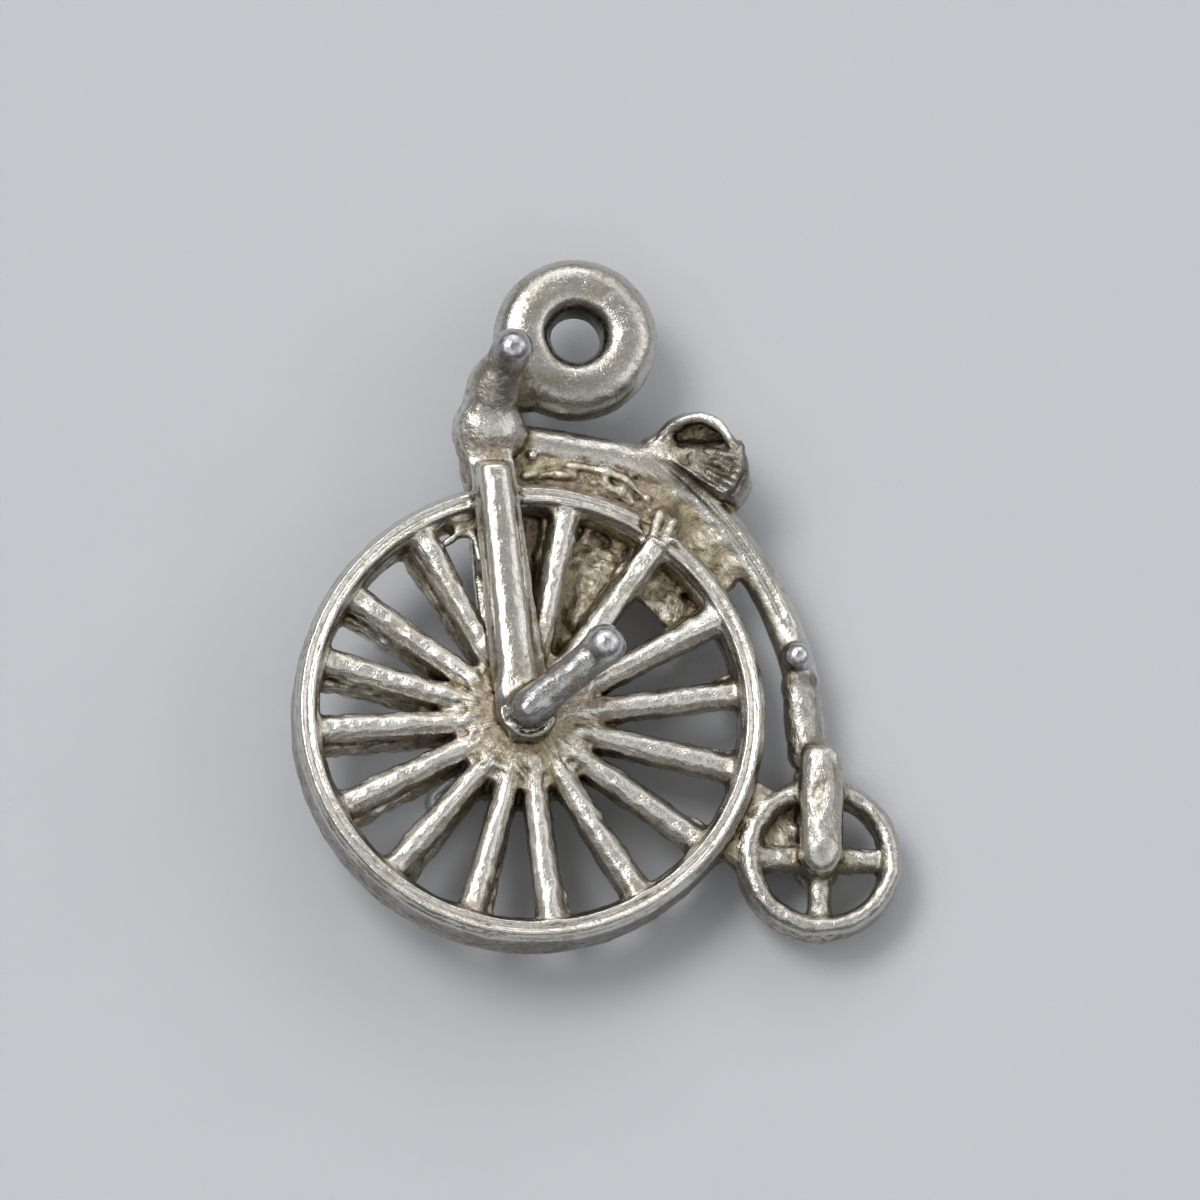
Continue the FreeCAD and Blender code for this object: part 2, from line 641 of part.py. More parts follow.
def wheel_bridge():
    """Metal that ties the small wheel's rim to the big one, cut round both rims."""
    start = RIM_R - RIM_WALL / 2
    gap = math.hypot(REAR_X, REAR_Y) - start - (REAR_R - REAR_WALL / 2)
    block = Part.makeBox(gap, BRIDGE_W, 2 * BRIDGE_Z, V(start, -BRIDGE_W / 2, -BRIDGE_Z))
    block.rotate(V(0, 0, 0), V(0, 0, 1), math.degrees(math.atan2(REAR_Y, REAR_X)))
    block = block.cut(disc(RIM_R, -BRIDGE_Z, BRIDGE_Z))
    return block.cut(disc(REAR_R, -BRIDGE_Z, BRIDGE_Z, REAR_X, REAR_Y))


# ---- the charm ---------------------------------------------------------------------
def build():
    rim = front_rim()
    hub = front_hub()
    blade_near = fork_near()
    crank = crank_near()
    head = steering_head()
    near_spokes = spokes_near(rim, hub)
    far_spokes = spokes_far(rim, hub)

    blade_near = blade_near.cut(crank)
    blade_far = mirrored(fork_near()).cut(half_turn(crank))

    crown = fork_crown().cut(blade_near).cut(blade_far).cut(rim)
    head = head.cut(crown).cut(blade_near).cut(blade_far)
    spine = backbone().cut(head).cut(crown).cut(blade_near).cut(blade_far)
    grip = grip_near()
    ring = bail_ring()
    bars = handlebar().cut(head).cut(grip).cut(mirrored(grip)).cut(spine).cut(ring)
    bars = bars.cut(crown).cut(blade_near).cut(blade_far)
    stem = bail_stem().cut(ring).cut(bars).cut(head).cut(spine)

    back_rim = rear_rim()
    back_hub = rear_hub()
    back_spokes = rear_spokes(back_rim, back_hub)
    fill = rear_fill(back_rim, back_spokes)
    rear_near = rear_fork_near()
    rear_far = mirrored(rear_near)
    rear_crown = rear_fork_crown().cut(back_rim)
    step = step_ball().cut(spine)
    tail = neck().cut(spine).cut(step).cut(rear_crown).cut(rear_near).cut(rear_far)

    seat = saddle()
    seat_stem = saddle_stem().cut(seat).cut(spine)
    seat = seat.cut(spine)
    web = rim_web().cut(seat_stem).cut(spine).cut(crown).cut(head)
    lump = web_lump().cut(rim).cut(web).cut(spine)
    for spoke in near_spokes:
        lump = lump.cut(spoke)
    plates = []
    for sheet in spoke_plates():
        sheet = sheet.cut(rim).cut(hub).cut(blade_far)
        for spoke in far_spokes:
            sheet = sheet.cut(spoke)
        plates.append(sheet)
    bridge = wheel_bridge().cut(rim).cut(back_rim)
    pedal = Part.makeSphere(PEDAL_R, pedal_centre())
    crank = crank.cut(pedal)
    return {
        "front_rim": rim, "front_hub": hub,
        "front_spokes_near": Part.Compound(near_spokes),
        "front_spokes_far": Part.Compound(far_spokes),
        "spoke_web_plates": Part.Compound(plates),
        "fork_blade_near": blade_near, "fork_blade_far": blade_far,
        "fork_crown": crown, "steering_head": head,
        "handlebar": bars, "grip_near": grip, "grip_far": mirrored(grip),
        "bail_ring": ring, "bail_stem": stem,
        "backbone": spine, "step_ball": step, "backbone_neck": tail,
        "saddle": seat, "saddle_stem": seat_stem,
        "rim_web": web, "web_lump": lump, "wheel_bridge": bridge,
        "rear_rim": back_rim, "rear_hub": back_hub,
        "rear_spokes": Part.Compound(back_spokes), "rear_quarter_web": fill,
        "rear_fork_near": rear_near, "rear_fork_far": rear_far, "rear_fork_crown": rear_crown,
        "crank_near": crank, "crank_far": half_turn(crank),
        "pedal_near": pedal, "pedal_far": half_turn(pedal),
    }


def rest_direction():
    """Table's upward direction in the drawing, from the three points the charm lies on."""
    far_grip = V(GRIP_X, GRIP_Y, -GRIP_Z)
    pedal = pedal_centre()
    far_pedal = V(2 * HUB_X - pedal.x, 2 * HUB_Y - pedal.y, -pedal.z)
    fork_end = V(REAR_X, REAR_Y, -(REAR_FACE + REAR_FORK_T))
    flat_r = REAR_FORK_W / 2 - REAR_FORK_EDGE
    up = V(0, 0, 1)
    for _ in range(20):
        lean = V(up.x, up.y, 0)
        reach = lean.normalize() * flat_r if lean.Length > 1e-9 else V(0, 0, 0)
        fork_foot = fork_end - reach
        a = far_grip - up * GRIP_R
        b = far_pedal - up * PEDAL_R
        up = (b - a).cross(fork_foot - a).normalize()
        if up.z < 0:
            up = up * -1
    return up


def main():
    os.makedirs("parts", exist_ok=True)
    shapes = build()
    turn = FreeCAD.Rotation(rest_direction(), V(0, 0, 1))
    laid = {name: shape.transformed(FreeCAD.Placement(V(0, 0, 0), turn).toMatrix())
            for name, shape in shapes.items()}
    box = FreeCAD.BoundBox()
    for shape in laid.values():
        box.add(shape.optimalBoundingBox(False, False))
    drop = V(-box.Center.x, -box.Center.y, -box.ZMin)
    for name, shape in laid.items():
        shape = solids_of(shape)
        shape.translate(drop)
        shape.exportStep("parts/" + name + ".step")
        print(name, len(shape.Solids), round(shape.Volume, 4), shape.isValid())
    print("box", round(box.XLength, 3), round(box.YLength, 3), round(box.ZLength, 3))
    print("volume", round(sum(s.Volume for s in laid.values()), 3))


main()
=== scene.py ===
import json
import math

import bpy
import numpy as np
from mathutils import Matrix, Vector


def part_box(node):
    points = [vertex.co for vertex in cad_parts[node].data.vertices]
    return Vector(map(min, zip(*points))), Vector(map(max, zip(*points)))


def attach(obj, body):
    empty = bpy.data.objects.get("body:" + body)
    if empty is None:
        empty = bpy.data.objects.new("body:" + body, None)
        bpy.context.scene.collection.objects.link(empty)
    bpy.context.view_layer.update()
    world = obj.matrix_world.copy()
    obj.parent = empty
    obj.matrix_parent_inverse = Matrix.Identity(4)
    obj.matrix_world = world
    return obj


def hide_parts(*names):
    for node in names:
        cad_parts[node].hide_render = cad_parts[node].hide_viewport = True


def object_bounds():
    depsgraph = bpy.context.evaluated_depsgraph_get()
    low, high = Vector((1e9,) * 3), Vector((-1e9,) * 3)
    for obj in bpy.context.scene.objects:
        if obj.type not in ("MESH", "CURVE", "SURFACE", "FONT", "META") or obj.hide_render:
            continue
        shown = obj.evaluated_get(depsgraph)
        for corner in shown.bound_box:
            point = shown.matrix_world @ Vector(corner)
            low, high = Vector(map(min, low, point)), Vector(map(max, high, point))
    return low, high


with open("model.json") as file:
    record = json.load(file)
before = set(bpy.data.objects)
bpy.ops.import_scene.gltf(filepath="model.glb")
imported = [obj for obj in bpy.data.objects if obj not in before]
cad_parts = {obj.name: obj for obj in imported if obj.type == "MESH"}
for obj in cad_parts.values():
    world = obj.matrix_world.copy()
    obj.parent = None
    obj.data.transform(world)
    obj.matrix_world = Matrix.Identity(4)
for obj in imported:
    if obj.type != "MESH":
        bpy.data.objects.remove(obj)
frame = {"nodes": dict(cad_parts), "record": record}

import openvdb
from mathutils import Euler, Matrix, Vector

# A cast silver penny farthing charm. Each CAD piece is replaced by a cast skin: the same
# solid with softened edges, small fillets where it meets its neighbours, and the waviness,
# grain and small sculpted forms of a rough casting. The skins are worked out as level sets
# on one grid. Lengths are millimetres in the charm's own axes unless a comment says
# otherwise: X from the big wheel to the small one, Y up to the handlebar, Z out of the near
# side, with the origin at the big wheel's centre.
MM = 0.001
CAD_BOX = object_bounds()
record = frame["record"]
cad_nodes = frame["nodes"]

# ---- level set grid ----------------------------------------------------------------
STEP = 0.068                       # grid spacing
BAND = 9                           # cells of distance kept on each side of a surface
MARGIN = 4                         # cells kept free round each piece
WELD = 1e-4                        # corners closer together than this are one
TINY = 1e-9                        # keeps a division from meeting zero
BLEND = 0.07                       # length over which neighbours flow together
OVERLAP = 0.10                     # how far a piece runs on under its neighbours, out of sight
DIP = 0.25                         # slope at which it dives under them
GROW = 0.025                       # makes up for what the softening takes off thin pieces
NORMAL_REACH = 0.8                 # cells on each side over which shading normals are measured
CREASE_REACH = 0.30                # how far round a point metal is looked for to find creases
SHELTER_REACH = 1.10               # and to find sheltered places
STREAK = 0.22                      # a streak's width as a share of its length


def charm_matrix():
    """Charm's own axes in the row frame: Z is the bore's axis, X and Y follow by the shortest turn."""
    normal = Vector(record["mounts"][0]["axis"]).normalized()
    return Vector((0, 0, 1)).rotation_difference(normal).to_matrix()


AXES = charm_matrix()
AXES_ARRAY = np.array(AXES)
WHEEL_CENTRE = sum(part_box("front_rim"), Vector()) / 2


def to_charm(points):
    """Points from the row frame in metres to the charm's axes in millimetres."""
    return (points - np.array(WHEEL_CENTRE)) @ AXES_ARRAY / MM


def to_row(points):
    """Points from the charm's axes in millimetres to the row frame in metres."""
    return points @ AXES_ARRAY.T * MM + np.array(WHEEL_CENTRE)


def mesh_arrays(mesh):
    """Vertices in the charm's axes and triangles of a CAD node's mesh."""
    points = np.zeros(len(mesh.vertices) * 3, np.float32)
    mesh.vertices.foreach_get("co", points)
    mesh.calc_loop_triangles()
    triangles = np.zeros(len(mesh.loop_triangles) * 3, np.int32)
    mesh.loop_triangles.foreach_get("vertices", triangles)
    return to_charm(points.reshape(-1, 3)), triangles.reshape(-1, 3)


def read_pieces():
    """Points and triangles of each CAD node, in the charm's axes."""
    return {name: mesh_arrays(node.data) for name, node in cad_nodes.items()}


def read_node(name):
    """Points of one CAD node, in the charm's axes."""
    return mesh_arrays(cad_nodes[name].data)[0]


def loose_parts(points, triangles):
    """The mesh's separate solids, as (points, triangles) pairs."""
    keys = np.round(points / WELD).astype(np.int64)
    _, first, corners = np.unique(keys, axis=0, return_index=True, return_inverse=True)
    triangles = corners.reshape(-1)[triangles]
    label = np.arange(len(first))
    while True:
        low = label[triangles].min(axis=1)
        fresh = label.copy()
        for corner in range(3):
            np.minimum.at(fresh, triangles[:, corner], low)
        fresh = fresh[fresh]
        if (fresh == label).all():
            break
        label = fresh
    points = points[first]
    for part in np.unique(label[triangles[:, 0]]):
        chosen = triangles[label[triangles[:, 0]] == part]
        used, compact = np.unique(chosen, return_inverse=True)
        yield points[used], compact.reshape(-1, 3)


class Grid:
    """Regular grid of cells over a box, with its lowest cell at index `low`."""

    def __init__(self, lo, hi):
        self.low = np.floor(np.array(lo) / STEP).astype(int) - MARGIN
        high = np.ceil(np.array(hi) / STEP).astype(int) + MARGIN
        self.shape = tuple(high - self.low + 1)

    def slices(self, part):
        start = part.low - self.low
        return tuple(slice(a, a + n) for a, n in zip(start, part.shape))

    def axis(self, index):
        """Coordinates of the cells along one axis."""
        return (self.low[index] + np.arange(self.shape[index])) * STEP

    def mesh(self):
        """Broadcastable coordinates of all the cells."""
        x, y, z = (self.axis(index).astype(np.float32) for index in range(3))
        return x[:, None, None], y[None, :, None], z[None, None, :]


def level_set(points, triangles, part):
    """Signed distance of a closed mesh over a part of the grid, clamped to the band."""
    grid = openvdb.FloatGrid.createLevelSetFromPolygons(
        points.astype(np.float32), triangles=triangles.astype(np.uint32),
        transform=openvdb.createLinearTransform(voxelSize=STEP), exBandWidth=BAND, inBandWidth=BAND)
    values = np.zeros(part.shape, np.float32)
    grid.copyToArray(values, ijk=tuple(int(v) for v in part.low))
    return values


def soften(values, rounds):
    """Small blur of a field, which rounds the edges of its surface."""
    for _ in range(rounds):
        for axis in range(3):
            values = (np.roll(values, 1, axis) + 2 * values + np.roll(values, -1, axis)) / 4
    return values


def box_blur(values, reach):
    """Mean over a box of +-reach cells, twice over."""
    for _ in range(2):
        for axis in range(3):
            pad = [(0, 0)] * 3
            pad[axis] = (reach + 1, reach)
            total = np.cumsum(np.pad(values, pad, mode="edge"), axis=axis, dtype=np.float64)
            length = values.shape[axis]
            upper = np.take(total, np.arange(2 * reach + 1, 2 * reach + 1 + length), axis=axis)
            lower = np.take(total, np.arange(0, length), axis=axis)
            values = ((upper - lower) / (2 * reach + 1)).astype(np.float32)
    return values


def spread(coarse, size, ratio, axis):
    """Smooth interpolation (cubic B-spline) of coarse random values along one axis."""
    at = np.arange(size) / ratio
    base = np.floor(at).astype(int)
    t = (at - base).astype(np.float32)
    weights = np.zeros((size, coarse.shape[axis]), np.float32)
    rows = np.arange(size)
    for offset, weight in ((0, (1 - t) ** 3 / 6), (1, (3 * t ** 3 - 6 * t ** 2 + 4) / 6),
                           (2, (-3 * t ** 3 + 3 * t ** 2 + 3 * t + 1) / 6), (3, t ** 3 / 6)):
        weights[rows, base + offset] += weight
    return np.moveaxis(np.tensordot(weights, coarse, axes=(1, axis)), 0, axis)


def noise(grid, wavelength, seed):
    """Smooth random field with a spread of about one."""
    ratio = wavelength / STEP
    shape = [int(n / ratio) + 5 for n in grid.shape]
    field = np.random.default_rng(seed).standard_normal(shape).astype(np.float32)
    for axis in range(3):
        field = spread(field, grid.shape[axis], ratio, axis)
    return field / field.std()


def sample(grid, field, points):
    """Field values at points, by linear interpolation."""
    at = points / STEP - grid.low
    base = np.clip(np.floor(at).astype(int), 0, np.array(grid.shape) - 2)
    t = at - base
    result = np.zeros(len(points))
    for dx in (0, 1):
        for dy in (0, 1):
            for dz in (0, 1):
                weight = np.abs(1 - dx - t[:, 0]) * np.abs(1 - dy - t[:, 1]) * np.abs(1 - dz - t[:, 2])
                result += weight * field[base[:, 0] + dx, base[:, 1] + dy, base[:, 2] + dz]
    return result


# ---- sculpting tools ---------------------------------------------------------------
ARC_STEP = 12                      # degrees that one rod of an arc spans
FADE = 0.55                        # share of a painted line's radius at which it starts to fade


def smooth_step(value, low, high):
    """0 below low, 1 above high and a smooth rise between them."""
    t = np.clip((value - low) / (high - low), 0, 1)
    return t * t * (3 - 2 * t)


def round_centre(centre, radius, degrees):
    """X and Y of the point at a radius and an angle from a centre."""
    angle = math.radians(degrees)
    return centre[0] + radius * math.cos(angle), centre[1] + radius * math.sin(angle)


def over(z, points):
    """Points with their heights counted from z."""
    return [(x, y, z + up) for x, y, up in points]


class Clay:
    """The whole charm's distance field, with tools that add and carve small forms."""

    def __init__(self, grid, field, raw):
        self.grid = grid
        self.field = field
        self.raw = raw
        self.soot_and_shade = np.zeros(grid.shape, np.float32)    # darkening put on at listed places: tarnish in some, painted shade in others

    def window(self, lo, hi):
        """Slices and broadcastable coordinates of the cells between two corners."""
        limit = np.array(self.grid.shape)
        start = np.clip(np.floor(np.array(lo) / STEP).astype(int) - self.grid.low, 0, limit)
        stop = np.clip(np.ceil(np.array(hi) / STEP).astype(int) - self.grid.low + 1, 0, limit)
        at = tuple(slice(a, b) for a, b in zip(start, stop))
        x, y, z = (self.grid.axis(index)[at[index]].astype(np.float32) for index in range(3))
        return at, x[:, None, None], y[None, :, None], z[None, None, :]

    def merge(self, at, distance, blend, carve=False):
        """Adds a form to the clay, or carves it away, with a fillet about `blend` wide."""
        old = self.field[at]
        other = -distance if carve else distance
        sign = -1 if carve else 1
        h = np.clip(0.5 + 0.5 * sign * (other - old) / blend, 0, 1)
        self.field[at] = other + (old - other) * h - sign * blend * h * (1 - h)

    def near_line(self, start, end, reach):
        """Slices of the cells near a line, how far along it each cell is, and how far from it."""
        a, b = np.array(start, float), np.array(end, float)
        at, x, y, z = self.window(np.minimum(a, b) - reach, np.maximum(a, b) + reach)
        d = b - a
        t = ((x - a[0]) * d[0] + (y - a[1]) * d[1] + (z - a[2]) * d[2]) / max(d @ d, TINY)
        t = np.clip(t, 0, 1)
        square = (x - a[0] - t * d[0]) ** 2 + (y - a[1] - t * d[1]) ** 2 + (z - a[2] - t * d[2]) ** 2
        return at, t, np.sqrt(square)

    def rod(self, start, end, r0, r1=None, blend=0.10, carve=False):
        """Tapered rod with round ends."""
        r1 = r0 if r1 is None else r1
        at, t, away = self.near_line(start, end, max(r0, r1) + blend + STEP)
        self.merge(at, away - (r0 + (r1 - r0) * t), blend, carve)

    def line(self, points, radius, blend=0.08, carve=False):
        """Chain of rods through points."""
        for a, b in zip(points, points[1:]):
            self.rod(a, b, radius, blend=blend, carve=carve)

    def arc(self, centre, z, size, start, end, radius, blend=0.08, carve=False):
        """Rod bent round a centre, from one angle to the other in degrees."""
        count = max(3, int(abs(end - start) / ARC_STEP))
        turns = np.linspace(start, end, count)
        self.line([(*round_centre(centre, size, turn), z) for turn in turns], radius, blend, carve)

    def dent(self, centre, radius, blend=0.06):
        """Round hole."""
        self.rod(centre, centre, radius, blend=blend, carve=True)

    def blob(self, centre, radius, blend=0.12):
        """Ball."""
        self.rod(centre, centre, radius, blend=blend)

    def paint(self, layer, start, end, radius, amount):
        """Raises a layer to an amount round a line, fading out at the radius."""
        at, _, away = self.near_line(start, end, radius)
        layer[at] = np.maximum(layer[at], amount * (1 - smooth_step(away, FADE * radius, radius)))

    def blacken(self, start, end, radius, amount):
        """Darkens the metal round a line: tarnish in some places, painted shade in others."""
        self.paint(self.soot_and_shade, start, end, radius, amount)

    def roughen_near(self, start, end, radius, amount):
        """Raw casting skin round a line."""
        self.paint(self.raw, start, end, radius, amount)

    def raise_by(self, at, height):
        """Moves the surface out by a height given at each cell."""
        self.field[at] -= height


# ---- sculpted forms ----------------------------------------------------------------
# Places and sizes of the small forms, as listed. Heights are counted from the big wheel's
# middle plane.
RIM_MIDDLE = 7.11                  # middle radius of the big rim's faces
RIM_HALF = 0.38                    # and half their width
RIM_RIDGE = 0.05                   # height of the ridges on them
RIM_REACH = 7.8                    # radius that holds all of the big rim
RIM_EDGE = (7.36, 7.46)            # radii between which the painted shade on its outer wall sets in
RIM_SHOULDER = (0.70, 0.85)        # heights over which that painted shade fades towards the near face
RIM_LIGHTEST = 50                  # degrees round the wheel where there is least of that painted shade
RIM_SHADE = (0.22, 0.36)           # painted shade there, and how much more on the far side from there
HUB = (-0.15, -0.20)               # hub's centre
COLLAR = 2.15                      # radius of the rough collar on the hub
COLLAR_HALF = 0.78                 # half its depth
COLLAR_FLARE = 0.35                # how much wider it is at its foot
HUB_RIDGES = ((37, 0.4), (46, 2.0), (58, 4.1), (23, 1.3))   # how many go round, and their phase
RIDGE_HEIGHT = 0.010               # and their height
NEAR_SPOKES = (9.2, 29.6, 53.9, 79.2, 97.0, 119.0, 144.0, 163.8, 183.4, 206.6, 229.7, 254.8, 277.5,
               302.7, 325.5, 348.1)     # degrees round the hub
SPOKE_ROOT = (1.15, 2.3)           # radii between which each spoke's root stands out
FORK_TOP = (-1.27, 8.20)           # ends of the near fork blade's middle line
FORK_FOOT = (-0.38, -0.20)
FORK_HALF = 0.74                   # half the blade's width
FORK_FACE = 1.83                   # height of its face
FORK_ARCH = (7.58, 0.76)           # where its arched top starts, and the arch's radius
FORK_ROUND = 0.50                  # length over which the face falls off to the top
FLAT = 0.10                        # share of the blade's half width that stays flat
CROWNING = 0.30                    # how far its face falls off to its sides
WORN_RIDGE = (0.84, 175, 340)      # radius round the hub, and the degrees that it spans
WORN_GROOVE = (0.66, 160, 350)
REAR_DOME = 0.60                   # height of the near rear blade's rounding
WEB_FACE = 0.35                    # height of the rough web's near face
SUNK = 0.03                        # how far the forms on it are sunk in
BACKBONE_CENTRE = (-3.25, -1.33)   # centre of the backbone's curve
BACKBONE_RIDGE = (12.50, 0.10, 0.05)    # radius of its line, width and height
BACKBONE_GROOVE = (12.27, 0.09, 0.07)
SEAT_NOSE = (4.00, 8.95)           # the seat fans out from here
SEAT_TURNS = (-42, -34, -13, 3, 15, 33)     # degrees round its nose
SEAT_REACHES = (2.7, 2.9, 2.86, 2.66, 2.2, 1.75)    # and how far it reaches there
SEAT_SIDES = (-40, 33)             # degrees between which it lies
SEAT_FOOT = 0.30                   # height of its face at the nose
SEAT_RISE = 1.14                   # how much higher the face is at the tail
SEAT_HOLLOW = 0.62                 # how deep its hollow is
SEAT_RIBS = 0.05                   # and how high its ribs are


def sculpt_rim(clay):
    """Worn groove round each face of the big rim, between two thin ridges, and painted shade on its outer
    wall.
    """
    for side in (-1, 1):
        lo, hi = sorted((0.75 * side, 1.35 * side))
        at, x, y, z = clay.window((-RIM_REACH, -RIM_REACH, lo), (RIM_REACH, RIM_REACH, hi))
        across = np.clip((np.hypot(x, y) - RIM_MIDDLE) / RIM_HALF, -1, 1)
        ridges = -np.cos(2 * math.pi * across) * (1 - across ** 4)
        clay.raise_by(at, RIM_RIDGE * ridges * smooth_step(np.abs(z), 0.80, 0.95))
    # painted shade on the rim's outer wall, below the near face, deepest on one side of the wheel
    at, x, y, z = clay.window((-RIM_REACH, -RIM_REACH, -1.2), (RIM_REACH, RIM_REACH, 0.85))
    outside = smooth_step(np.hypot(x, y), *RIM_EDGE) * (1 - smooth_step(z, *RIM_SHOULDER))
    low = 0.5 - 0.5 * np.cos(np.arctan2(y, x) - math.radians(RIM_LIGHTEST))
    clay.soot_and_shade[at] = np.maximum(clay.soot_and_shade[at], outside * (RIM_SHADE[0] + RIM_SHADE[1] * low))


def sculpt_hub(clay):
    """Rough collar of radial ridges from which the spokes grow."""
    reach = COLLAR + 1.25
    at, x, y, z = clay.window((HUB[0] - reach, HUB[1] - reach, -1.3),
                              (HUB[0] + reach, HUB[1] + reach, 1.4))
    r = np.hypot(x - HUB[0], y - HUB[1])
    angle = np.arctan2(y - HUB[1], x - HUB[0])
    flare = COLLAR_FLARE * np.clip(0.6 - z, 0, 1)
    collar = np.maximum(r - COLLAR - flare, np.abs(z + 0.10) - COLLAR_HALF)
    clay.merge(at, collar, 0.30)
    bend = 0.12 * np.sin(3 * r + 5 * angle)
    comb = sum(np.cos(count * (angle + bend) + phase) for count, phase in HUB_RIDGES)
    window = smooth_step(r, 0.85, 1.15) * (1 - smooth_step(r, 2.0, 2.7)) * smooth_step(z, 0.3, 0.6)
    clay.raise_by(at, RIDGE_HEIGHT * comb * window)
    clay.raw[at] = np.maximum(clay.raw[at], 0.65 * window)
    for degrees in NEAR_SPOKES:
        inner, outer = (round_centre(HUB, away, degrees) for away in SPOKE_ROOT)
        clay.rod((*inner, 0.86), (*outer, 0.66), 0.13, 0.20, 0.08)


def sculpt_fork(clay):
    """Crowned blade with an arched top, worn rings round the crank's root and the keel below."""
    at, x, y, z = clay.window((-2.3, 0.4, 1.2), (0.9, 8.5, 2.0))
    lean = (FORK_TOP[0] - FORK_FOOT[0]) * (y - FORK_FOOT[1]) / (FORK_TOP[1] - FORK_FOOT[1])
    middle = FORK_FOOT[0] + lean
    side = np.clip((np.abs(x - middle) - FLAT * FORK_HALF) / ((1 - FLAT) * FORK_HALF), 0, 1)
    end = np.clip((y - FORK_TOP[1] + FORK_ROUND) / FORK_ROUND, 0, 1)
    fall = np.clip(side ** 2 + end ** 2, 0, 1) * smooth_step(y, 0.5, 1.4)
    clay.raise_by(at, -CROWNING * fall * smooth_step(z, 1.25, 1.5))
    at, x, y, z = clay.window((-2.4, 7.4, 1.2), (-0.2, 8.7, 2.1))
    arch = np.hypot(x - FORK_TOP[0], np.maximum(y - FORK_ARCH[0], 0)) - FORK_ARCH[1]
    clay.merge(at, -np.minimum(arch, z - 1.30), 0.10, carve=True)
    sculpt_rear_fork(clay)
    clay.arc(HUB, FORK_FACE + 0.02, *WORN_RIDGE, 0.06, 0.05)
    for degrees in range(170, 350, 20):
        a, b = ((*round_centre(HUB, 0.92, degrees + turn), 1.8) for turn in (0, 20))
        clay.blacken(a, b, 0.42, 0.45)
    clay.arc(HUB, FORK_FACE + 0.04, *WORN_GROOVE, 0.05, 0.04, carve=True)
    clay.rod((-0.64, -1.02, 1.40), (-0.60, -0.72, 1.78), 0.12, 0.20, 0.08)


def sculpt_rear_fork(clay):
    """Near rear blade rounded all over, bright round its edge and stained along the middle."""
    points = read_node("rear_fork_near")
    lo, hi = points.min(0), points.max(0)
    half, middle = (hi[0] - lo[0]) / 2, (hi[0] + lo[0]) / 2
    at, x, y, z = clay.window(lo - (0.3, 0.3, -0.15), hi + (0.3, 0.3, 0.3))
    ends = np.clip(y, lo[1] + 1.3 * half, hi[1] - 0.75 * half)
    across = np.hypot(x - middle, (y - ends) * np.where(y > ends, 0.75, 0.77)) / (half + 0.02)
    height = np.sqrt(np.clip(1 - across ** 2, 0, 1)) * REAR_DOME
    form = np.maximum((z - (hi[2] - REAR_DOME) - height) * 0.75, (across - 1) * half * 0.9)
    clay.merge(at, -form, 0.10, carve=True)
    clay.blacken((middle, lo[1] + half, -0.5), (middle, lo[1] + half, 1.5), 4.8, 0.20)
    start, end = (middle, lo[1] + 1.3, hi[2]), (middle, hi[1] - 0.7, hi[2])
    clay.roughen_near(start, end, 0.55, 0.62)
    clay.blacken(start, end, 0.60, 0.30)


def sculpt_crank(clay):
    """Fuller, lumpy crank with its pedal and the grip's ball."""
    root, tip, pedal = (-0.15, -0.20, 2.12), (2.05, 1.68, 2.14), (2.23, 1.83, 2.45)
    grip = (-0.72, 11.51, 2.45)
    clay.rod(root, tip, 0.58, 0.53, 0.05)
    clay.blob(pedal, 0.60, 0.30)
    clay.blob(grip, 0.60, 0.25)
    clay.blacken(root, tip, 0.9, 0.36)
    clay.roughen_near(root, tip, 0.9, 0.45)


def sculpt_ring(clay):
    """Painted shade in the ring's bore and on its underside where the stem grows out, and tarnish all over
    the ring.
    """
    centre = to_charm(np.array(record["mounts"][0]["pos_m"]))
    # painted shade inside the bore
    clay.blacken(centre - (0, 0, 0.45), centre + (0, 0, 0.45), 1.45, 0.85)
    clay.blacken(centre - (0, 0, 1), centre + (0, 0, 1), 4.6, 0.15)
    # painted shade on the ring's underside, where the stem grows out
    clay.blacken(centre + (-1.6, -1.9, 0.5), centre + (1.2, -2.1, 0.5), 0.95, 0.42)


def sculpt_head(clay):
    """Swollen knob, the thick arm above it and the groove over the blade."""
    shoulder, elbow = (-1.42, 9.65, 0.95), (-1.22, 10.55, 1.36)
    clay.rod((-1.66, 9.20, 0.80), (-0.98, 9.18, 0.85), 0.84, 0.80, 0.30)
    clay.rod(shoulder, elbow, 0.82, 0.74, 0.40)
    clay.rod(elbow, (-0.86, 11.25, 2.05), 0.74, 0.56, 0.30)
    clay.roughen_near((-1.5, 9.2, 1.2), (-1.3, 9.6, 1.4), 1.1, 0.5)
    clay.blacken((-1.30, 10.00, 1.5), (-0.95, 11.05, 2.2), 1.0, 0.30)
    clay.blacken((-1.05, 10.15, 1.9), (-0.85, 10.85, 2.3), 0.55, 0.62)
    clay.rod((-2.05, 8.52, 1.75), (-0.55, 8.52, 1.75), 0.10, blend=0.10, carve=True)


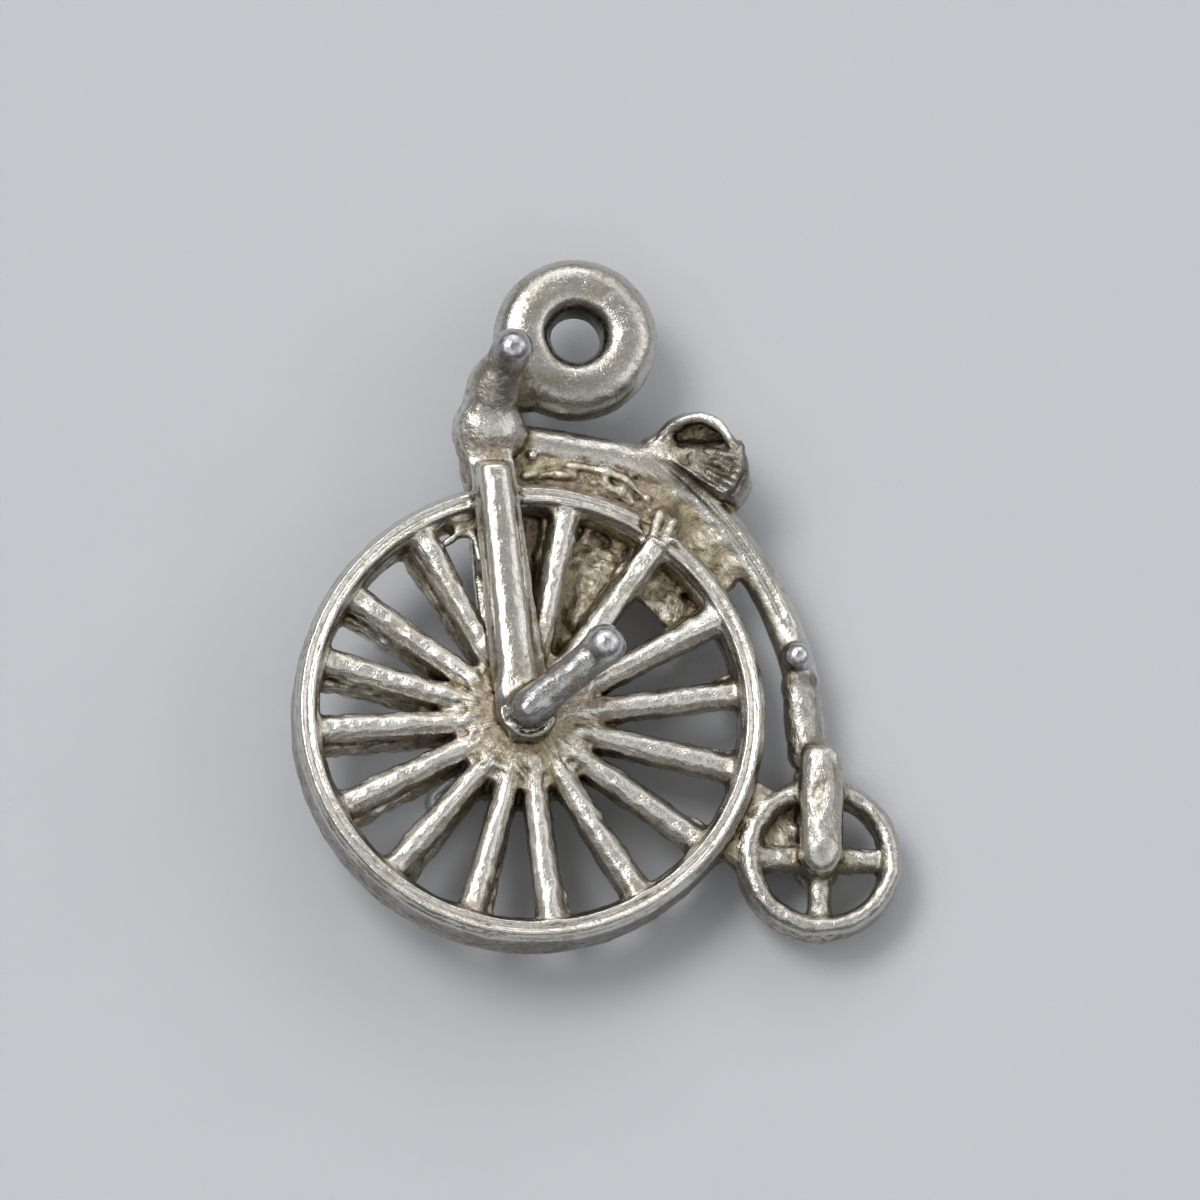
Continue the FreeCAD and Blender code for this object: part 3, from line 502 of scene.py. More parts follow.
def sculpt_web(clay):
    """Runners, lozenges and curled leaves that the wax left on the web above the rim."""
    z = WEB_FACE - SUNK
    for degrees in range(62, 96, 6):
        a, b = ((*round_centre((0, 0), 7.62, degrees + turn), z) for turn in (0, 6))
        clay.blacken(a, b, 0.20, 0.55)
    clay.blob((0.09, 8.56, z + 0.12), 0.15)
    clay.line(over(z, ((0.28, 8.44, 0), (1.15, 8.32, 0))), 0.06)
    clay.line(over(z, ((-0.12, 8.20, 0), (0.60, 8.26, 0.02))), 0.07)
    clay.rod((-0.10, 7.93, z), (1.42, 7.95, z), 0.17, 0.13, 0.08)
    for notch in (((0.25, 7.78, 0.1), (0.42, 8.08, 0.1)), ((0.75, 7.80, 0.1), (0.88, 8.08, 0.1))):
        clay.line(over(z, notch), 0.05, carve=True)
    runner = ((1.25, 8.26, 0.05), (1.80, 8.22, 0.10), (2.43, 8.10, 0.12), (2.90, 7.92, 0.12),
              (3.30, 7.66, 0.12), (3.72, 7.22, 0.12), (3.84, 6.80, 0.10))
    clay.line(over(z, runner), 0.11)
    leaves = (((1.78, 7.98, 0.02), (2.02, 7.72, 0.04), (2.32, 7.76, 0.04), (2.40, 7.60, 0.04)),
              ((2.42, 7.84, 0.04), (2.66, 7.50, 0.05), (3.00, 7.54, 0.05), (2.94, 7.34, 0.05)),
              ((3.12, 7.42, 0.04), (3.30, 7.12, 0.05), (3.62, 6.98, 0.05)))
    for leaf in leaves:
        clay.line(over(z, leaf), 0.05, 0.12)


def sculpt_plates(clay):
    """Arched rims, holes and lumps of the sheets between the upper spokes."""
    z = -0.36
    clay.line(over(z, ((-0.02, 6.45, 0), (0.18, 6.72, 0), (0.72, 6.78, 0), (1.00, 6.60, 0))), 0.09)
    clay.line(over(z, ((1.90, 6.30, 0), (2.20, 6.52, 0), (3.00, 6.28, 0), (3.52, 5.86, 0))), 0.09)
    for place, size in (((1.95, 5.75, -0.35), 0.16), ((2.55, 5.95, -0.38), 0.14),
                        ((2.75, 5.70, -0.35), 0.10), ((0.20, 5.40, -0.38), 0.12),
                        ((0.55, 4.20, -0.36), 0.13)):
        clay.dent(place, size)
    clay.blob((1.55, 3.30, -0.45), 0.36, 0.25)
    clay.blob((1.85, 3.85, -0.50), 0.30, 0.25)


def sculpt_corner(clay):
    """Arched web in the corner between the big rim and the fork blade."""
    edge = ((-2.65, 5.61, 0.55), (-2.26, 5.91, 0.55), (-1.79, 5.77, 0.60), (-1.61, 5.05, 0.65))
    clay.line(edge, 0.09, 0.15)
    clay.line(((-2.45, 6.20, 0.40), (-2.00, 6.30, 0.40), (-1.55, 6.20, 0.45)), 0.26, 0.20)
    clay.roughen_near((-2.3, 6.0, 0.5), (-1.7, 6.0, 0.5), 0.7, 0.8)


def sculpt_ridge(clay):
    """Twin ridge of the steep spoke that runs over the rim into the lump."""
    root, tip = np.array((2.15, 2.75)), np.array((4.05, 5.72))
    sideways = np.array((-0.81, 0.59))
    for side in (-0.20, 0.20):
        across = sideways * side
        clay.rod((*(root + across), 0.86), (*(tip + across), 0.98), 0.07, 0.09, 0.07)
    at, x, y, z = clay.window((3.1, 5.3, 0.2), (5.3, 7.4, 1.6))
    away = np.sqrt((x - 4.19) ** 2 + (y - 6.34) ** 2 + (z - 0.55) ** 2)
    clay.raise_by(at, -0.20 * (1 - smooth_step(away, 0.65, 0.95)) * smooth_step(z, 0.3, 0.6))
    for start, end, r0, r1, blend in (((3.92, 5.85, 0.90), (4.10, 6.55, 0.92), 0.13, 0.15, 0.08),
                                      ((4.20, 5.70, 0.90), (4.55, 6.35, 0.92), 0.15, 0.13, 0.08),
                                      ((4.25, 5.75, 0.88), (4.95, 5.35, 0.80), 0.13, 0.15, 0.10)):
        clay.rod(start, end, r0, r1, blend)
    pit = (4.24, 6.22, 1.18)
    clay.dent(pit, 0.15)
    clay.blacken((*pit[:2], 1.10), (*pit[:2], 1.0), 0.22, 0.8)
    clay.roughen_near((4.2, 6.0, 1.0), (4.5, 6.5, 0.9), 0.9, 0.9)


def sculpt_saddle(clay):
    """Underside of the seat: a hollow under a thin bright lip, ribs that fan out to the tail, and painted
    shade in the hollow and over the flank.
    """
    at, x, y, z = clay.window((4.2, 7.0, -1.1), (7.0, 10.0, 1.5))
    away = np.hypot(x - SEAT_NOSE[0], y - SEAT_NOSE[1])
    turn = np.degrees(np.arctan2(y - SEAT_NOSE[1], x - SEAT_NOSE[0]))
    reach = np.interp(turn, SEAT_TURNS, SEAT_REACHES)
    share = np.clip(away / 2.8, 0, 1)
    hollow = smooth_step(turn, -10, 16) * (1 - smooth_step(turn, 30, 36)) * smooth_step(away, 0.5, 1.1)
    ribs = np.cos(turn * 0.62 + 0.8 * np.sin(away * 3)) * smooth_step(away, 1.3, 2.2)
    face = SEAT_FOOT + SEAT_RISE * share - SEAT_HOLLOW * hollow + SEAT_RIBS * ribs
    past = np.maximum(turn - SEAT_SIDES[1], SEAT_SIDES[0] - turn)
    sides = np.maximum(away - reach, away * np.radians(past))
    form = np.maximum(np.maximum((z - face) * 0.85, -z - 0.2 - 0.5 * share), sides)
    clay.merge(at, form, 0.12)
    lip = ((3.95, 9.00, 0.30), (4.22, 9.24, 0.40), (4.78, 9.68, 0.48), (5.19, 9.88, 0.52),
           (5.58, 9.93, 0.55), (5.95, 9.78, 0.62), (6.20, 9.55, 0.68))
    clay.line(lip, 0.07, 0.06)
    for place, size in (((6.90, 8.74, 1.30), 0.13), ((6.94, 8.34, 1.35), 0.17), ((6.86, 7.95, 1.35), 0.15)):
        clay.dent(place, size)
    clay.roughen_near((5.2, 8.9, 0.6), (6.4, 8.5, 0.8), 1.1, 0.9)
    # painted shade: dark under the lip and over the seat's flank
    for start, end, size, amount in (((4.8, 9.30, 0.2), (6.0, 9.25, 0.5), 0.85, 0.80),
                                     ((5.6, 8.80, 1.0), (6.5, 8.60, 1.3), 0.62, 0.66),
                                     ((5.2, 8.05, 0.7), (6.5, 7.75, 1.3), 0.95, 0.72),
                                     ((4.6, 8.75, 0.5), (5.5, 8.70, 0.8), 0.55, 0.35)):
        clay.blacken(start, end, size, amount)


def sculpt_backbone(clay):
    """Ridge and groove drawn along the near side of the backbone."""
    at, x, y, z = clay.window((4.0, 1.6, 0.1), (9.9, 9.4, 1.2))
    r = np.hypot(x - BACKBONE_CENTRE[0], y - BACKBONE_CENTRE[1])
    ends = smooth_step(y, 3.0, 3.8) * (1 - smooth_step(y, 8.0, 8.9)) * smooth_step(z, 0.1, 0.3)
    ridge, groove = (np.exp(-((r - radius) / width) ** 2)
                     for radius, width, _ in (BACKBONE_RIDGE, BACKBONE_GROOVE))
    clay.raise_by(at, (BACKBONE_RIDGE[2] * ridge - BACKBONE_GROOVE[2] * groove) * ends)
    clay.soot_and_shade[at] = np.maximum(clay.soot_and_shade[at], 0.40 * groove * ends)


def sculpt_neck(clay):
    """Dark notch under the step and the thick, stained neck that runs down to the rear fork."""
    clay.rod((8.48, 1.36, 0.60), (9.05, 1.40, 0.55), 0.10, blend=0.10, carve=True)
    clay.blacken((8.45, 1.32, 0.5), (9.05, 1.36, 0.5), 0.30, 0.7)
    clay.rod((8.64, 1.20, 0.06), (8.86, -1.00, 0.06), 0.56, 0.58, 0.15)
    top, foot = (8.70, 1.10), (8.86, -0.90)
    clay.roughen_near((*top, 0.4), (*foot, 0.4), 0.7, 0.6)
    clay.blacken((*top, 0.5), (*foot, 0.5), 0.8, 0.36)


def sculpt(clay):
    """All the sculpted forms, each on top of the ones before it."""
    for form in (sculpt_rim, sculpt_hub, sculpt_fork, sculpt_crank, sculpt_ring, sculpt_head, sculpt_web,
                 sculpt_plates, sculpt_corner, sculpt_ridge, sculpt_saddle, sculpt_backbone, sculpt_neck):
        form(clay)


# ---- cast skin ---------------------------------------------------------------------
# how raw each piece's casting skin is, from 0 for rubbed smooth to 1
RAWNESS = {
    "rim_web": 1.0, "spoke_web_plates": 1.0, "web_lump": 0.7, "rear_quarter_web": 1.0,
    "wheel_bridge": 0.9, "front_hub": 0.9, "front_spokes_near": 0.40, "front_spokes_far": 0.7,
    "rear_spokes": 0.6, "rear_hub": 0.6, "saddle": 0.35, "saddle_stem": 0.5, "backbone": 0.22,
    "backbone_neck": 0.30, "fork_crown": 0.5, "steering_head": 0.45, "handlebar": 0.35,
    "bail_stem": 0.5, "bail_ring": 0.15, "front_rim": 0.22, "rear_rim": 0.35,
    "fork_blade_near": 0.15, "fork_blade_far": 0.2, "rear_fork_near": 0.20, "rear_fork_far": 0.3,
    "rear_fork_crown": 0.4,
}
RUBBED = 0.04                      # rawness of the pieces not listed: grips, cranks, pedals, step
WAVE = ((1.6, 0.014), (0.55, 0.005))    # wavelength and depth of the waviness everywhere
GRAIN = ((0.30, 0.030), (0.17, 0.023))  # and of the grain on a fully raw skin
WAVE_SHARE = 0.35                  # share of the waviness that a skin with no rawness keeps
SEED = 11                          # the random numbers' first seed
SOFT_ROUNDS = 2                    # rounds of softening that every piece gets
ROUND_ROUNDS = 14                  # and those that a fully rounded piece gets on top
# how much the spokes swell, and how fully some pieces are rounded, from 0 to 1
SWELL = {"front_spokes_near": 0.075, "front_spokes_far": 0.045, "rear_spokes": 0.05}
ROUNDED = {"fork_blade_near": 0.4, "rear_fork_near": 0.8, "bail_ring": 1.0, "front_rim": 0.20,
           "rear_rim": 0.4, "handlebar": 0.6, "bail_stem": 0.6, "steering_head": 0.6,
           "crank_near": 0.5, "crank_far": 0.5, "backbone": 0.3}
SPOKE_STREAKS = 4.5                # distance from the hub at which streaks there have their true width
RIM_STREAKS = 7.1                  # radius at which the big rim's streaks are drawn out by STREAK
BACKBONE_STREAKS = 12.0            # radius that turns an angle along the backbone into a length
FORK_LEAN = 0.106                  # how far the fork blades lean over for each step up
CRANK_TURN = 40.4                  # degrees that the cranks are turned from X


def union_fields(whole, pieces):
    """Blended distance to the charm, each piece's own distance, and rawness and roundness."""
    total = np.zeros(whole.shape, np.float32)
    raw = np.zeros(whole.shape, np.float32)
    rounded = np.zeros(whole.shape, np.float32)
    own = {}
    for name, (points, triangles) in pieces.items():
        region = Grid(points.min(0) - BAND * STEP, points.max(0) + BAND * STEP)
        nearest = np.full(region.shape, BAND * STEP, np.float32)
        for part_points, part_triangles in loose_parts(points, triangles):
            part = Grid(part_points.min(0) - BAND * STEP, part_points.max(0) + BAND * STEP)
            distance = level_set(part_points, part_triangles, part) - SWELL.get(name, 0)
            weight = np.exp(-distance / BLEND)
            total[whole.slices(part)] += weight
            raw[whole.slices(part)] += weight * RAWNESS.get(name, RUBBED)
            rounded[whole.slices(part)] += weight * ROUNDED.get(name, 0)
            inner = region.slices(part)
            nearest[inner] = np.minimum(nearest[inner], distance)
        own[name] = (region, nearest)
    raw /= np.maximum(total, TINY)
    rounded /= np.maximum(total, TINY)
    blended = np.where(total > TINY, -BLEND * np.log(np.maximum(total, TINY)), BAND * STEP)
    return np.minimum(blended, BAND * STEP).astype(np.float32), own, raw, rounded


def rank_fields(whole, own):
    """Distance to the nearest and to the second nearest piece at each cell."""
    first = np.full(whole.shape, 2 * BAND * STEP, np.float32)
    second = first.copy()
    for region, distance in own.values():
        at = whole.slices(region)
        second[at] = np.minimum(second[at], np.maximum(first[at], distance))
        first[at] = np.minimum(first[at], distance)
    return first, second


def roughen(whole, field, raw):
    """Adds the casting's waviness and grain to a distance field."""
    layers = [(*layer, WAVE_SHARE) for layer in WAVE] + [(*layer, 0) for layer in GRAIN]
    for seed, (wavelength, depth, share) in enumerate(layers, SEED):
        field = field + noise(whole, wavelength, seed) * depth * (share + raw)
    return field


def normals_at(grid, field, points):
    """Outward directions of the whole charm's surface at points."""
    slope = np.stack([sample(grid, field, points + offset) - sample(grid, field, points - offset)
                      for offset in np.eye(3) * STEP * NORMAL_REACH], axis=1)
    return slope / np.maximum(np.linalg.norm(slope, axis=1, keepdims=True), TINY)


def skin_mesh(name, region, values):
    """Closed mesh of one piece's zero surface, kept inside the CAD box, and its first points."""
    grid = openvdb.FloatGrid(BAND * STEP)
    grid.transform = openvdb.createLinearTransform(voxelSize=STEP)
    grid.copyFromArray(values.astype(np.float32), ijk=tuple(int(v) for v in region.low))
    points, triangles, quads = grid.convertToPolygons(isovalue=0.0, adaptivity=0.0)
    faces = triangles.tolist() + quads.tolist()
    mesh = bpy.data.meshes.new(name)
    lowest, highest = (np.array(corner) for corner in CAD_BOX)
    mesh.from_pydata(np.clip(to_row(points), lowest, highest).tolist(), [], faces)
    mesh.validate()
    mesh.shade_smooth()
    return mesh, points


def store(mesh, name, values):
    """Keeps one value per vertex on a mesh."""
    mesh.attributes.new(name, "FLOAT", "POINT").data.foreach_set("value", values.astype(np.float32))


def metal_round(solid, reach):
    """Share of metal round each cell, out to about the reach."""
    return box_blur(solid, int(reach / STEP / 2))


def make_skins():
    """One cast skin for each CAD node, with the measures that its material reads."""
    pieces = read_pieces()
    points = np.concatenate([piece[0] for piece in pieces.values()])
    whole = Grid(points.min(0) - BAND * STEP, points.max(0) + BAND * STEP)
    field, own, raw, rounded = union_fields(whole, pieces)
    first, second = rank_fields(whole, own)
    clay = Clay(whole, soften(field, SOFT_ROUNDS), raw)
    clay.field += (soften(clay.field, ROUND_ROUNDS) - clay.field) * rounded
    sculpt(clay)
    field = roughen(whole, clay.field, raw) - GROW
    solid = np.clip(0.5 - field / (2 * STEP), 0, 1)
    measures = {"crease": metal_round(solid, CREASE_REACH), "shelter": metal_round(solid, SHELTER_REACH),
                "raw": raw, "soot_and_shade": clay.soot_and_shade}
    skins = {}
    for name, (region, distance) in own.items():
        at = whole.slices(region)
        other = np.where(distance > first[at], first[at], second[at])
        lead = distance - other
        values = np.maximum(field[at] + DIP * np.maximum(lead, 0), lead - OVERLAP)
        mesh, points = skin_mesh(name + "_skin", region, values)
        normals = normals_at(whole, field, points)
        mesh.normals_split_custom_set_from_vertices(normals @ AXES_ARRAY.T)
        drawn = mesh.attributes.new("flow", "FLOAT_VECTOR", "POINT")
        drawn.data.foreach_set("vector", flow(name, points).astype(np.float32).ravel())
        # how far the surface faces sideways; the materials read it to paint shade on side walls
        store(mesh, "side", 1 - np.abs(normals[:, 2]))
        for measure, layer in measures.items():
            store(mesh, measure, sample(whole, layer, points))
        skin = bpy.data.objects.new(name + "_skin", mesh)
        bpy.context.scene.collection.objects.link(skin)
        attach(skin, "root")
        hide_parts(name)
        skins[name] = skin
    return skins


def flow(name, points):
    """Coordinates in millimetres, pressed together along the way each piece was drawn."""
    x, y, z = points.T
    if name in ("front_spokes_near", "front_spokes_far", "front_hub"):
        across, up = x - HUB[0], y - HUB[1]
        r = np.maximum(np.hypot(across, up), STEP)
        return np.stack([SPOKE_STREAKS * across / r, SPOKE_STREAKS * up / r, z + r * STREAK], axis=1)
    if name == "front_rim":
        r = np.hypot(x, y)
        shrunk = (r - RIM_STREAKS * (1 - STREAK)) / r
        return np.stack([x * shrunk, y * shrunk, z], axis=1)
    if name in ("backbone", "backbone_neck", "rim_web"):
        across, up = x - BACKBONE_CENTRE[0], y - BACKBONE_CENTRE[1]
        along = np.arctan2(up, across) * BACKBONE_STREAKS
        return np.stack([np.hypot(across, up), along * STREAK, z], axis=1)
    if name.startswith(("fork_blade", "rear_fork")):
        return np.stack([x + FORK_LEAN * y, y * STREAK, z], axis=1)
    if name.startswith("crank"):
        turn = math.radians(CRANK_TURN)
        along = x * math.cos(turn) + y * math.sin(turn)
        return np.stack([along * STREAK, y * math.cos(turn) - x * math.sin(turn), z], axis=1)
    return points


def slot_of(name):
    """The record's material slot of a CAD node."""
    return next(part["material_slot"] for part in record["subparts"] if part["node"] == name)


# ---- camera ------------------------------------------------------------------------
CAMERA_DISTANCE = 0.600            # metres, far enough for nearly parallel sight lines
VIEW_WIDTH = 38.2 * MM             # width of the view at the charm
AIM = (2.29, 3.96, 0.0)            # what the camera looks at
TILT = (15.0, -5.2, 0.0)           # camera's turn against the charm's own axes, degrees
SENSOR = 36.0                      # the sensor's width
LENS = SENSOR * CAMERA_DISTANCE / VIEW_WIDTH
NEAREST = 0.001                    # metres from which the camera sees things


def make_camera():
    """Camera at the photo's viewing angle."""
    data = bpy.data.cameras.new("camera")
    camera = bpy.data.objects.new("camera", data)
    bpy.context.scene.collection.objects.link(camera)
    aim = WHEEL_CENTRE + AXES @ Vector(AIM) * MM
    turn = AXES @ Euler([math.radians(angle) for angle in TILT]).to_matrix()
    back = turn @ Vector((0, 0, 1))
    camera.matrix_world = Matrix.Translation(aim + back * CAMERA_DISTANCE) @ turn.to_4x4()
    data.sensor_width = SENSOR
    data.lens = LENS
    data.clip_start = NEAREST
    bpy.context.scene.camera = camera


# ---- materials ---------------------------------------------------------------------
# the record's slots: clean metal, stained metal, and how rough each is
SILVER = {
    "silver_cast": ((0.68, 0.66, 0.61), (0.345, 0.297, 0.19), 0.20, 0.38),
    "silver_polished": ((0.58, 0.58, 0.59), (0.24, 0.23, 0.20), 0.18, 0.34),
    "silver_rough": ((0.72, 0.675, 0.57), (0.40, 0.34, 0.22), 0.32, 0.52),
}
RUSSET = (0.40, 0.33, 0.245)       # redder stain that comes in patches
SOOT_AND_SHADE = (0.055, 0.045, 0.03)        # the blackest colour: tarnish deep in creases, and painted shade on side walls and where the sculpting lays it
# noises on the metal: wavelength in millimetres, detail, roughness
NOISES = {"patches": (1.3, 3.0, 0.6), "specks": (0.22, 4.0, 0.65), "grains": (0.075, 3.0, 0.6),
          "ripples": (0.17, 2.0, 0.5)}
STREAKS = (0.15, 3.0, 0.6)         # the noise that is drawn out along the pieces
WARMTH = (2.3, 2.0, 0.5)           # the noise that reddens the stain
# what stains the metal, blackens it, gives it relief and dulls it: the level at which a measure
# does nothing, and its weight. The side measure in the first two is painted shade on walls that face
# sideways.
STAIN_AND_SHADE = {"crease": (0.5, 2.6), "shelter": (0.36, 1.1), "raw": (0, 0.45), "patches": (0.5, 1.6),
         "specks": (0.5, 1.7), "streaks": (0.5, 1.3), "side": (0, 0.25)}
GRIME_AND_SHADE = {"crease": (0.5, 1.0), "specks": (0.5, 0.55), "streaks": (0.5, 0.60), "side": (0, 0.13)}
RELIEF = {"grains": (0, 1.0), "ripples": (0, 1.2), "streaks": (0, 1.1)}
DULL = {"specks": (0.5, 0.25)}
STAIN_AND_SHADE_RANGE = (-0.05, 0.85)        # from clean to fully stained, with the painted shade on side walls counted in
GRIME_AND_SHADE_RANGE = (0.08, 0.34)
WARM_RANGE = (0.42, 0.62)
PIT_RANGE = (0.62, 0.72)           # specks above this are pits
PIT_DEPTH = -0.25
SMOOTH_RELIEF = 0.22               # share of the relief that metal with no rawness shows
RELIEF_DEPTH = 0.028
PAPER = (0.525, 0.54, 0.57), (0.555, 0.57, 0.60)    # its clouds' darkest and palest colours
PAPER_ROUGHNESS = 0.8
CLOUDS = (6.0, 4.0, 0.6)
FIBRES = (0.5, 5.0, 0.6)
FIBRE_DEPTH = 0.02


class Nodes:
    """Small helper that adds shader nodes and links them."""

    def __init__(self, tree):
        self.tree = tree

    def add(self, kind, **values):
        """New node with its settings."""
        node = self.tree.nodes.new(kind)
        for name, value in values.items():
            setattr(node, name, value)
        return node

    def link(self, source, target):
        """Joins an output to an input."""
        self.tree.links.new(source, target)

    def set(self, socket, value):
        """Links a socket to another one, or gives it a value."""
        if isinstance(value, bpy.types.NodeSocket):
            self.link(value, socket)
        else:
            socket.default_value = value

    def math(self, operation, a, b):
        """Result of an operation on two numbers."""
        node = self.add("ShaderNodeMath", operation=operation)
        self.set(node.inputs[0], a)
        self.set(node.inputs[1], b)
        return node.outputs[0]

    def attribute(self, name):
        """One of the measures kept on the mesh."""
        return self.add("ShaderNodeAttribute", attribute_name=name).outputs["Fac"]

    def total(self, measures, weights):
        """Sum of the named measures, each counted from its own level and weighted."""
        result = None
        for name, (level, weight) in weights.items():
            value = self.math("MULTIPLY", self.math("SUBTRACT", measures[name], level), weight)
            result = value if result is None else self.math("ADD", result, value)
        return result

    def noise(self, coordinates, wavelength, detail, roughness, millimetre=MM):
        """Noise about 0.5. Its wavelength is in millimetres, each as long as given here."""
        node = self.add("ShaderNodeTexNoise")
        self.link(coordinates, node.inputs["Vector"])
        node.inputs["Scale"].default_value = 1 / (wavelength * millimetre)
        node.inputs["Detail"].default_value = detail
        node.inputs["Roughness"].default_value = roughness
        return node.outputs["Fac"]

    def ramp(self, value, low, high, start=0.0, end=1.0):
        """Smooth step of a value from low to high."""
        node = self.add("ShaderNodeMapRange", interpolation_type="SMOOTHSTEP")
        self.link(value, node.inputs["Value"])
        for name, number in (("From Min", low), ("From Max", high), ("To Min", start), ("To Max", end)):
            self.set(node.inputs[name], number)
        return node.outputs["Result"]

    def mix(self, factor, a, b):
        """Mix of two colours."""
        node = self.add("ShaderNodeMix", data_type="RGBA")
        self.set(node.inputs["Factor"], factor)
        colours = [socket for socket in node.inputs if socket.type == "RGBA"]
        for socket, colour in zip(colours, (a, b)):
            self.set(socket, colour if isinstance(colour, bpy.types.NodeSocket) else (*colour, 1))
        return next(socket for socket in node.outputs if socket.type == "RGBA")

    def bump(self, height, distance):
        """Normal of a surface whose relief is a distance in millimetres deep."""
        node = self.add("ShaderNodeBump")
        self.link(height, node.inputs["Height"])
        node.inputs["Distance"].default_value = distance * MM
        return node.outputs["Normal"]


def new_material(name):
    """Material with its node helper, its shader and the object's own coordinates."""
    material = bpy.data.materials.new(name)
    material.use_nodes = True
    nodes = Nodes(material.node_tree)
    shader = material.node_tree.nodes["Principled BSDF"]
    return material, nodes, shader, nodes.add("ShaderNodeTexCoord").outputs["Object"]


def silver(slot):
    """Tarnished silver: clean where it is rubbed, yellow-brown where it is raw or sheltered, with painted
    shade on walls that face sideways and where the sculpting lays it.
    """
    clean, stained, gloss, dull = SILVER[slot]
    material, nodes, shader, place = new_material(slot)
    shader.inputs["Metallic"].default_value = 1.0
    drawn = nodes.add("ShaderNodeAttribute", attribute_name="flow").outputs["Vector"]
    measures = {name: nodes.attribute(name) for name in ("crease", "shelter", "raw", "side")}
    measures.update({name: nodes.noise(place, *shape) for name, shape in NOISES.items()})
    measures["streaks"] = nodes.noise(drawn, *STREAKS, millimetre=1.0)
    # the stain and the black below are tarnish, and also painted shade on walls that face sideways
    stain_and_shade = nodes.ramp(nodes.total(measures, STAIN_AND_SHADE), *STAIN_AND_SHADE_RANGE)
    grime_and_shade = nodes.ramp(nodes.total(measures, GRIME_AND_SHADE), *GRIME_AND_SHADE_RANGE)
    soot_and_shade = nodes.math("MAXIMUM", grime_and_shade, nodes.attribute("soot_and_shade"))
    warmth = nodes.ramp(nodes.noise(place, *WARMTH), *WARM_RANGE)
    colour = nodes.mix(stain_and_shade, clean, nodes.mix(warmth, stained, RUSSET))
    nodes.link(nodes.mix(soot_and_shade, colour, SOOT_AND_SHADE), shader.inputs["Base Color"])
    rough = nodes.math("ADD", nodes.ramp(stain_and_shade, 0.0, 1.0, gloss, dull), nodes.total(measures, DULL))
    nodes.link(rough, shader.inputs["Roughness"])
    pits = nodes.math("MULTIPLY", nodes.ramp(measures["specks"], *PIT_RANGE), PIT_DEPTH)
    share = nodes.math("ADD", measures["raw"], SMOOTH_RELIEF)
    relief = nodes.math("MULTIPLY", nodes.total(measures, RELIEF), share)
    nodes.link(nodes.bump(nodes.math("ADD", relief, pits), RELIEF_DEPTH), shader.inputs["Normal"])
    return material


def paper():
    """Pale paper with a faint texture."""
    material, nodes, shader, place = new_material("paper")
    shader.inputs["Roughness"].default_value = PAPER_ROUGHNESS
    nodes.link(nodes.mix(nodes.noise(place, *CLOUDS), *PAPER), shader.inputs["Base Color"])
    nodes.link(nodes.bump(nodes.noise(place, *FIBRES), FIBRE_DEPTH), shader.inputs["Normal"])
    return material


# ---- light -------------------------------------------------------------------------
# brightness of the sky by the cosine of the angle from SKY_TOP: dim in the middle, as when
# someone leans over the charm, bright round that, and dim again beyond 60 degrees
SKY = ((0.0, 0.30), (0.30, 0.26), (0.46, 0.42), (0.58, 1.45), (0.78, 1.90), (0.89, 0.98), (0.95, 0.50),
       (1.0, 0.34))
SKY_TOP = (0.05, 0.16, 1.0)
SKY_SCALE = 2.0                    # a colour ramp holds no level over 1, so it holds them divided by this
SKY_SPOTS = 2.6                    # scale of the sky's soft spots
SPOT_RANGE = (0.35, 0.65)
SPOT_LEVELS = (0.45, 1.50)         # darkest and brightest of them
FOOT = (0, -1, 0)                  # towards the charm's wheels
BODY_EDGE = (0.05, 0.30)           # where the sky darkens towards FOOT
BODY_SHADE = 0.50                  # and by how much
KEY = (-0.55, 0.38, 0.95)          # direction of the main light
KEY_POWER = 1.0
KEY_WIDTH = 0.45                   # radians across
FLOOR_SIZE = 0.6                   # metres


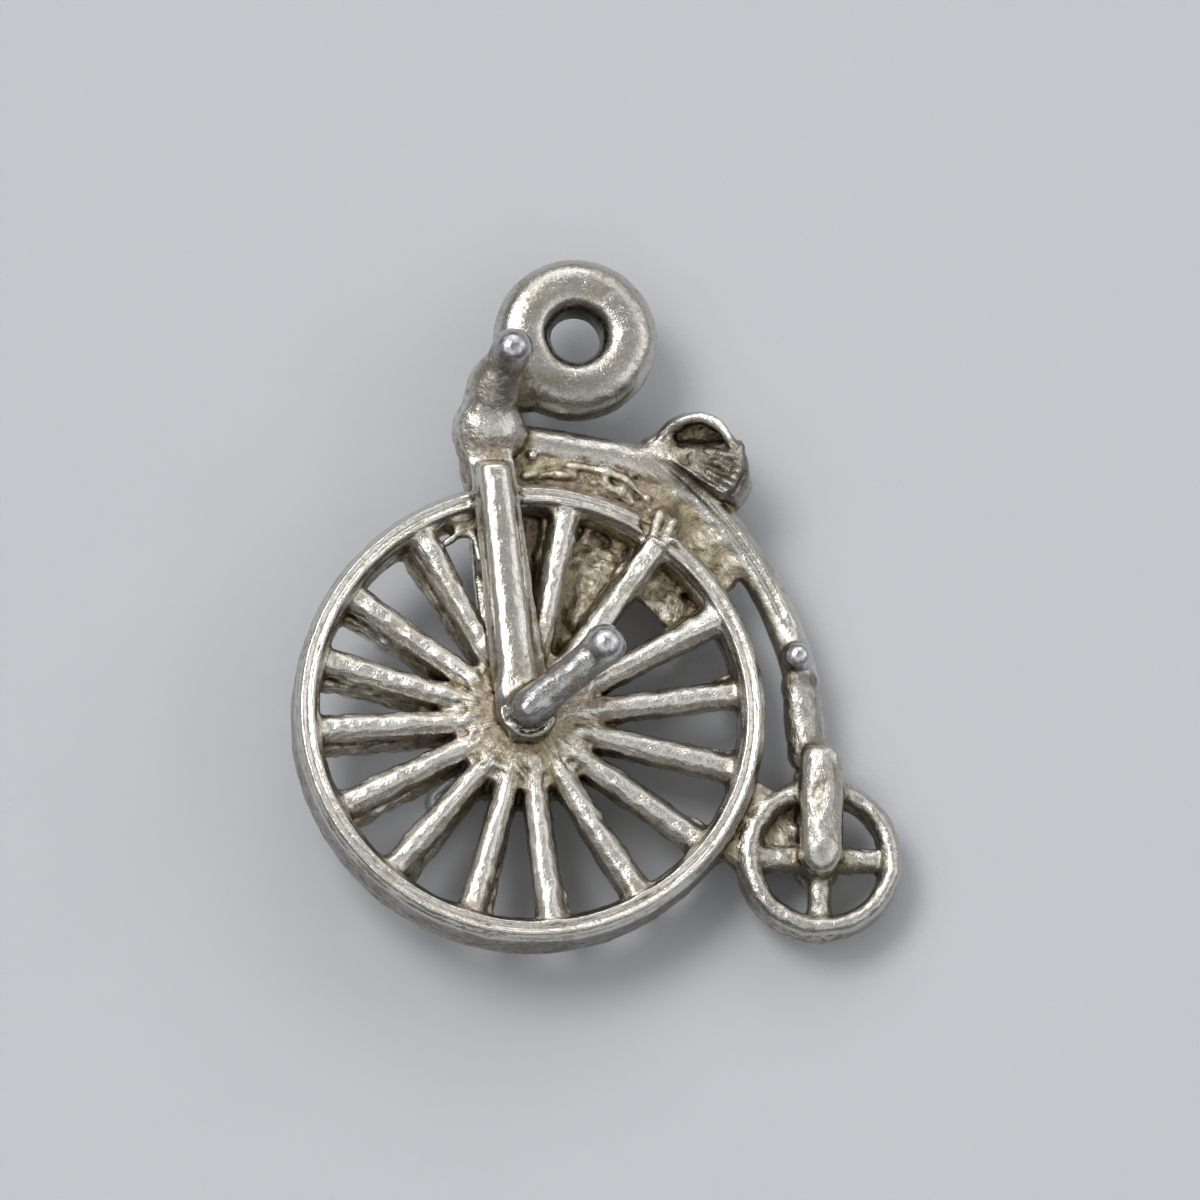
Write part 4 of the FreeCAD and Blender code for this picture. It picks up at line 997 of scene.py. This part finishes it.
def make_sky():
    """White sky with soft bright and dark stretches for the metal to reflect."""
    world = bpy.data.worlds.new("studio")
    bpy.context.scene.world = world
    world.use_nodes = True
    nodes = Nodes(world.node_tree)
    direction = nodes.add("ShaderNodeTexCoord").outputs["Generated"]

    def along(axis):
        """Cosine of the angle between a place in the sky and an axis of the charm."""
        dot = nodes.add("ShaderNodeVectorMath", operation="DOT_PRODUCT")
        nodes.link(direction, dot.inputs[0])
        dot.inputs[1].default_value = (AXES @ Vector(axis)).normalized()
        return dot.outputs["Value"]

    ramp = nodes.add("ShaderNodeValToRGB")
    stops = ramp.color_ramp.elements
    while len(stops) < len(SKY):
        stops.new(0.5)
    for stop, (position, level) in zip(stops, SKY):
        grey = level / SKY_SCALE
        stop.position = position
        stop.color = (grey, grey, grey, 1)
    nodes.link(along(SKY_TOP), ramp.inputs["Fac"])
    body = nodes.ramp(along(FOOT), *BODY_EDGE, 1.0, 1 - BODY_SHADE)
    spots = nodes.add("ShaderNodeTexNoise")
    nodes.link(direction, spots.inputs["Vector"])
    spots.inputs["Scale"].default_value = SKY_SPOTS
    spots.inputs["Detail"].default_value = 1.0
    level = nodes.math("MULTIPLY", ramp.outputs["Color"], body)
    level = nodes.math("MULTIPLY", level, nodes.ramp(spots.outputs["Fac"], *SPOT_RANGE, *SPOT_LEVELS))
    background = world.node_tree.nodes["Background"]
    background.inputs["Color"].default_value = (1, 1, 1, 1)
    nodes.link(nodes.math("MULTIPLY", level, SKY_SCALE), background.inputs["Strength"])


def make_key():
    """Soft main light."""
    lamp = bpy.data.lights.new("key", "SUN")
    lamp.energy = KEY_POWER
    lamp.angle = KEY_WIDTH
    key = bpy.data.objects.new("key", lamp)
    key.rotation_euler = (AXES @ Vector(KEY)).to_track_quat("Z", "Y").to_euler()
    bpy.context.scene.collection.objects.link(key)


def make_floor():
    """Sheet of paper that the charm lies on."""
    bpy.ops.mesh.primitive_plane_add(size=FLOOR_SIZE, location=(0, 0, 0))
    floor = bpy.context.object
    floor.name = "floor"
    floor.data.materials.append(paper())


# ---- scene -------------------------------------------------------------------------
make_camera()
skins = make_skins()
metals = {slot: silver(slot) for slot in SILVER}
for name, skin in skins.items():
    skin.data.materials.append(metals[slot_of(name)])
bpy.context.scene.view_settings.view_transform = "Standard"
make_sky()
make_key()
make_floor()
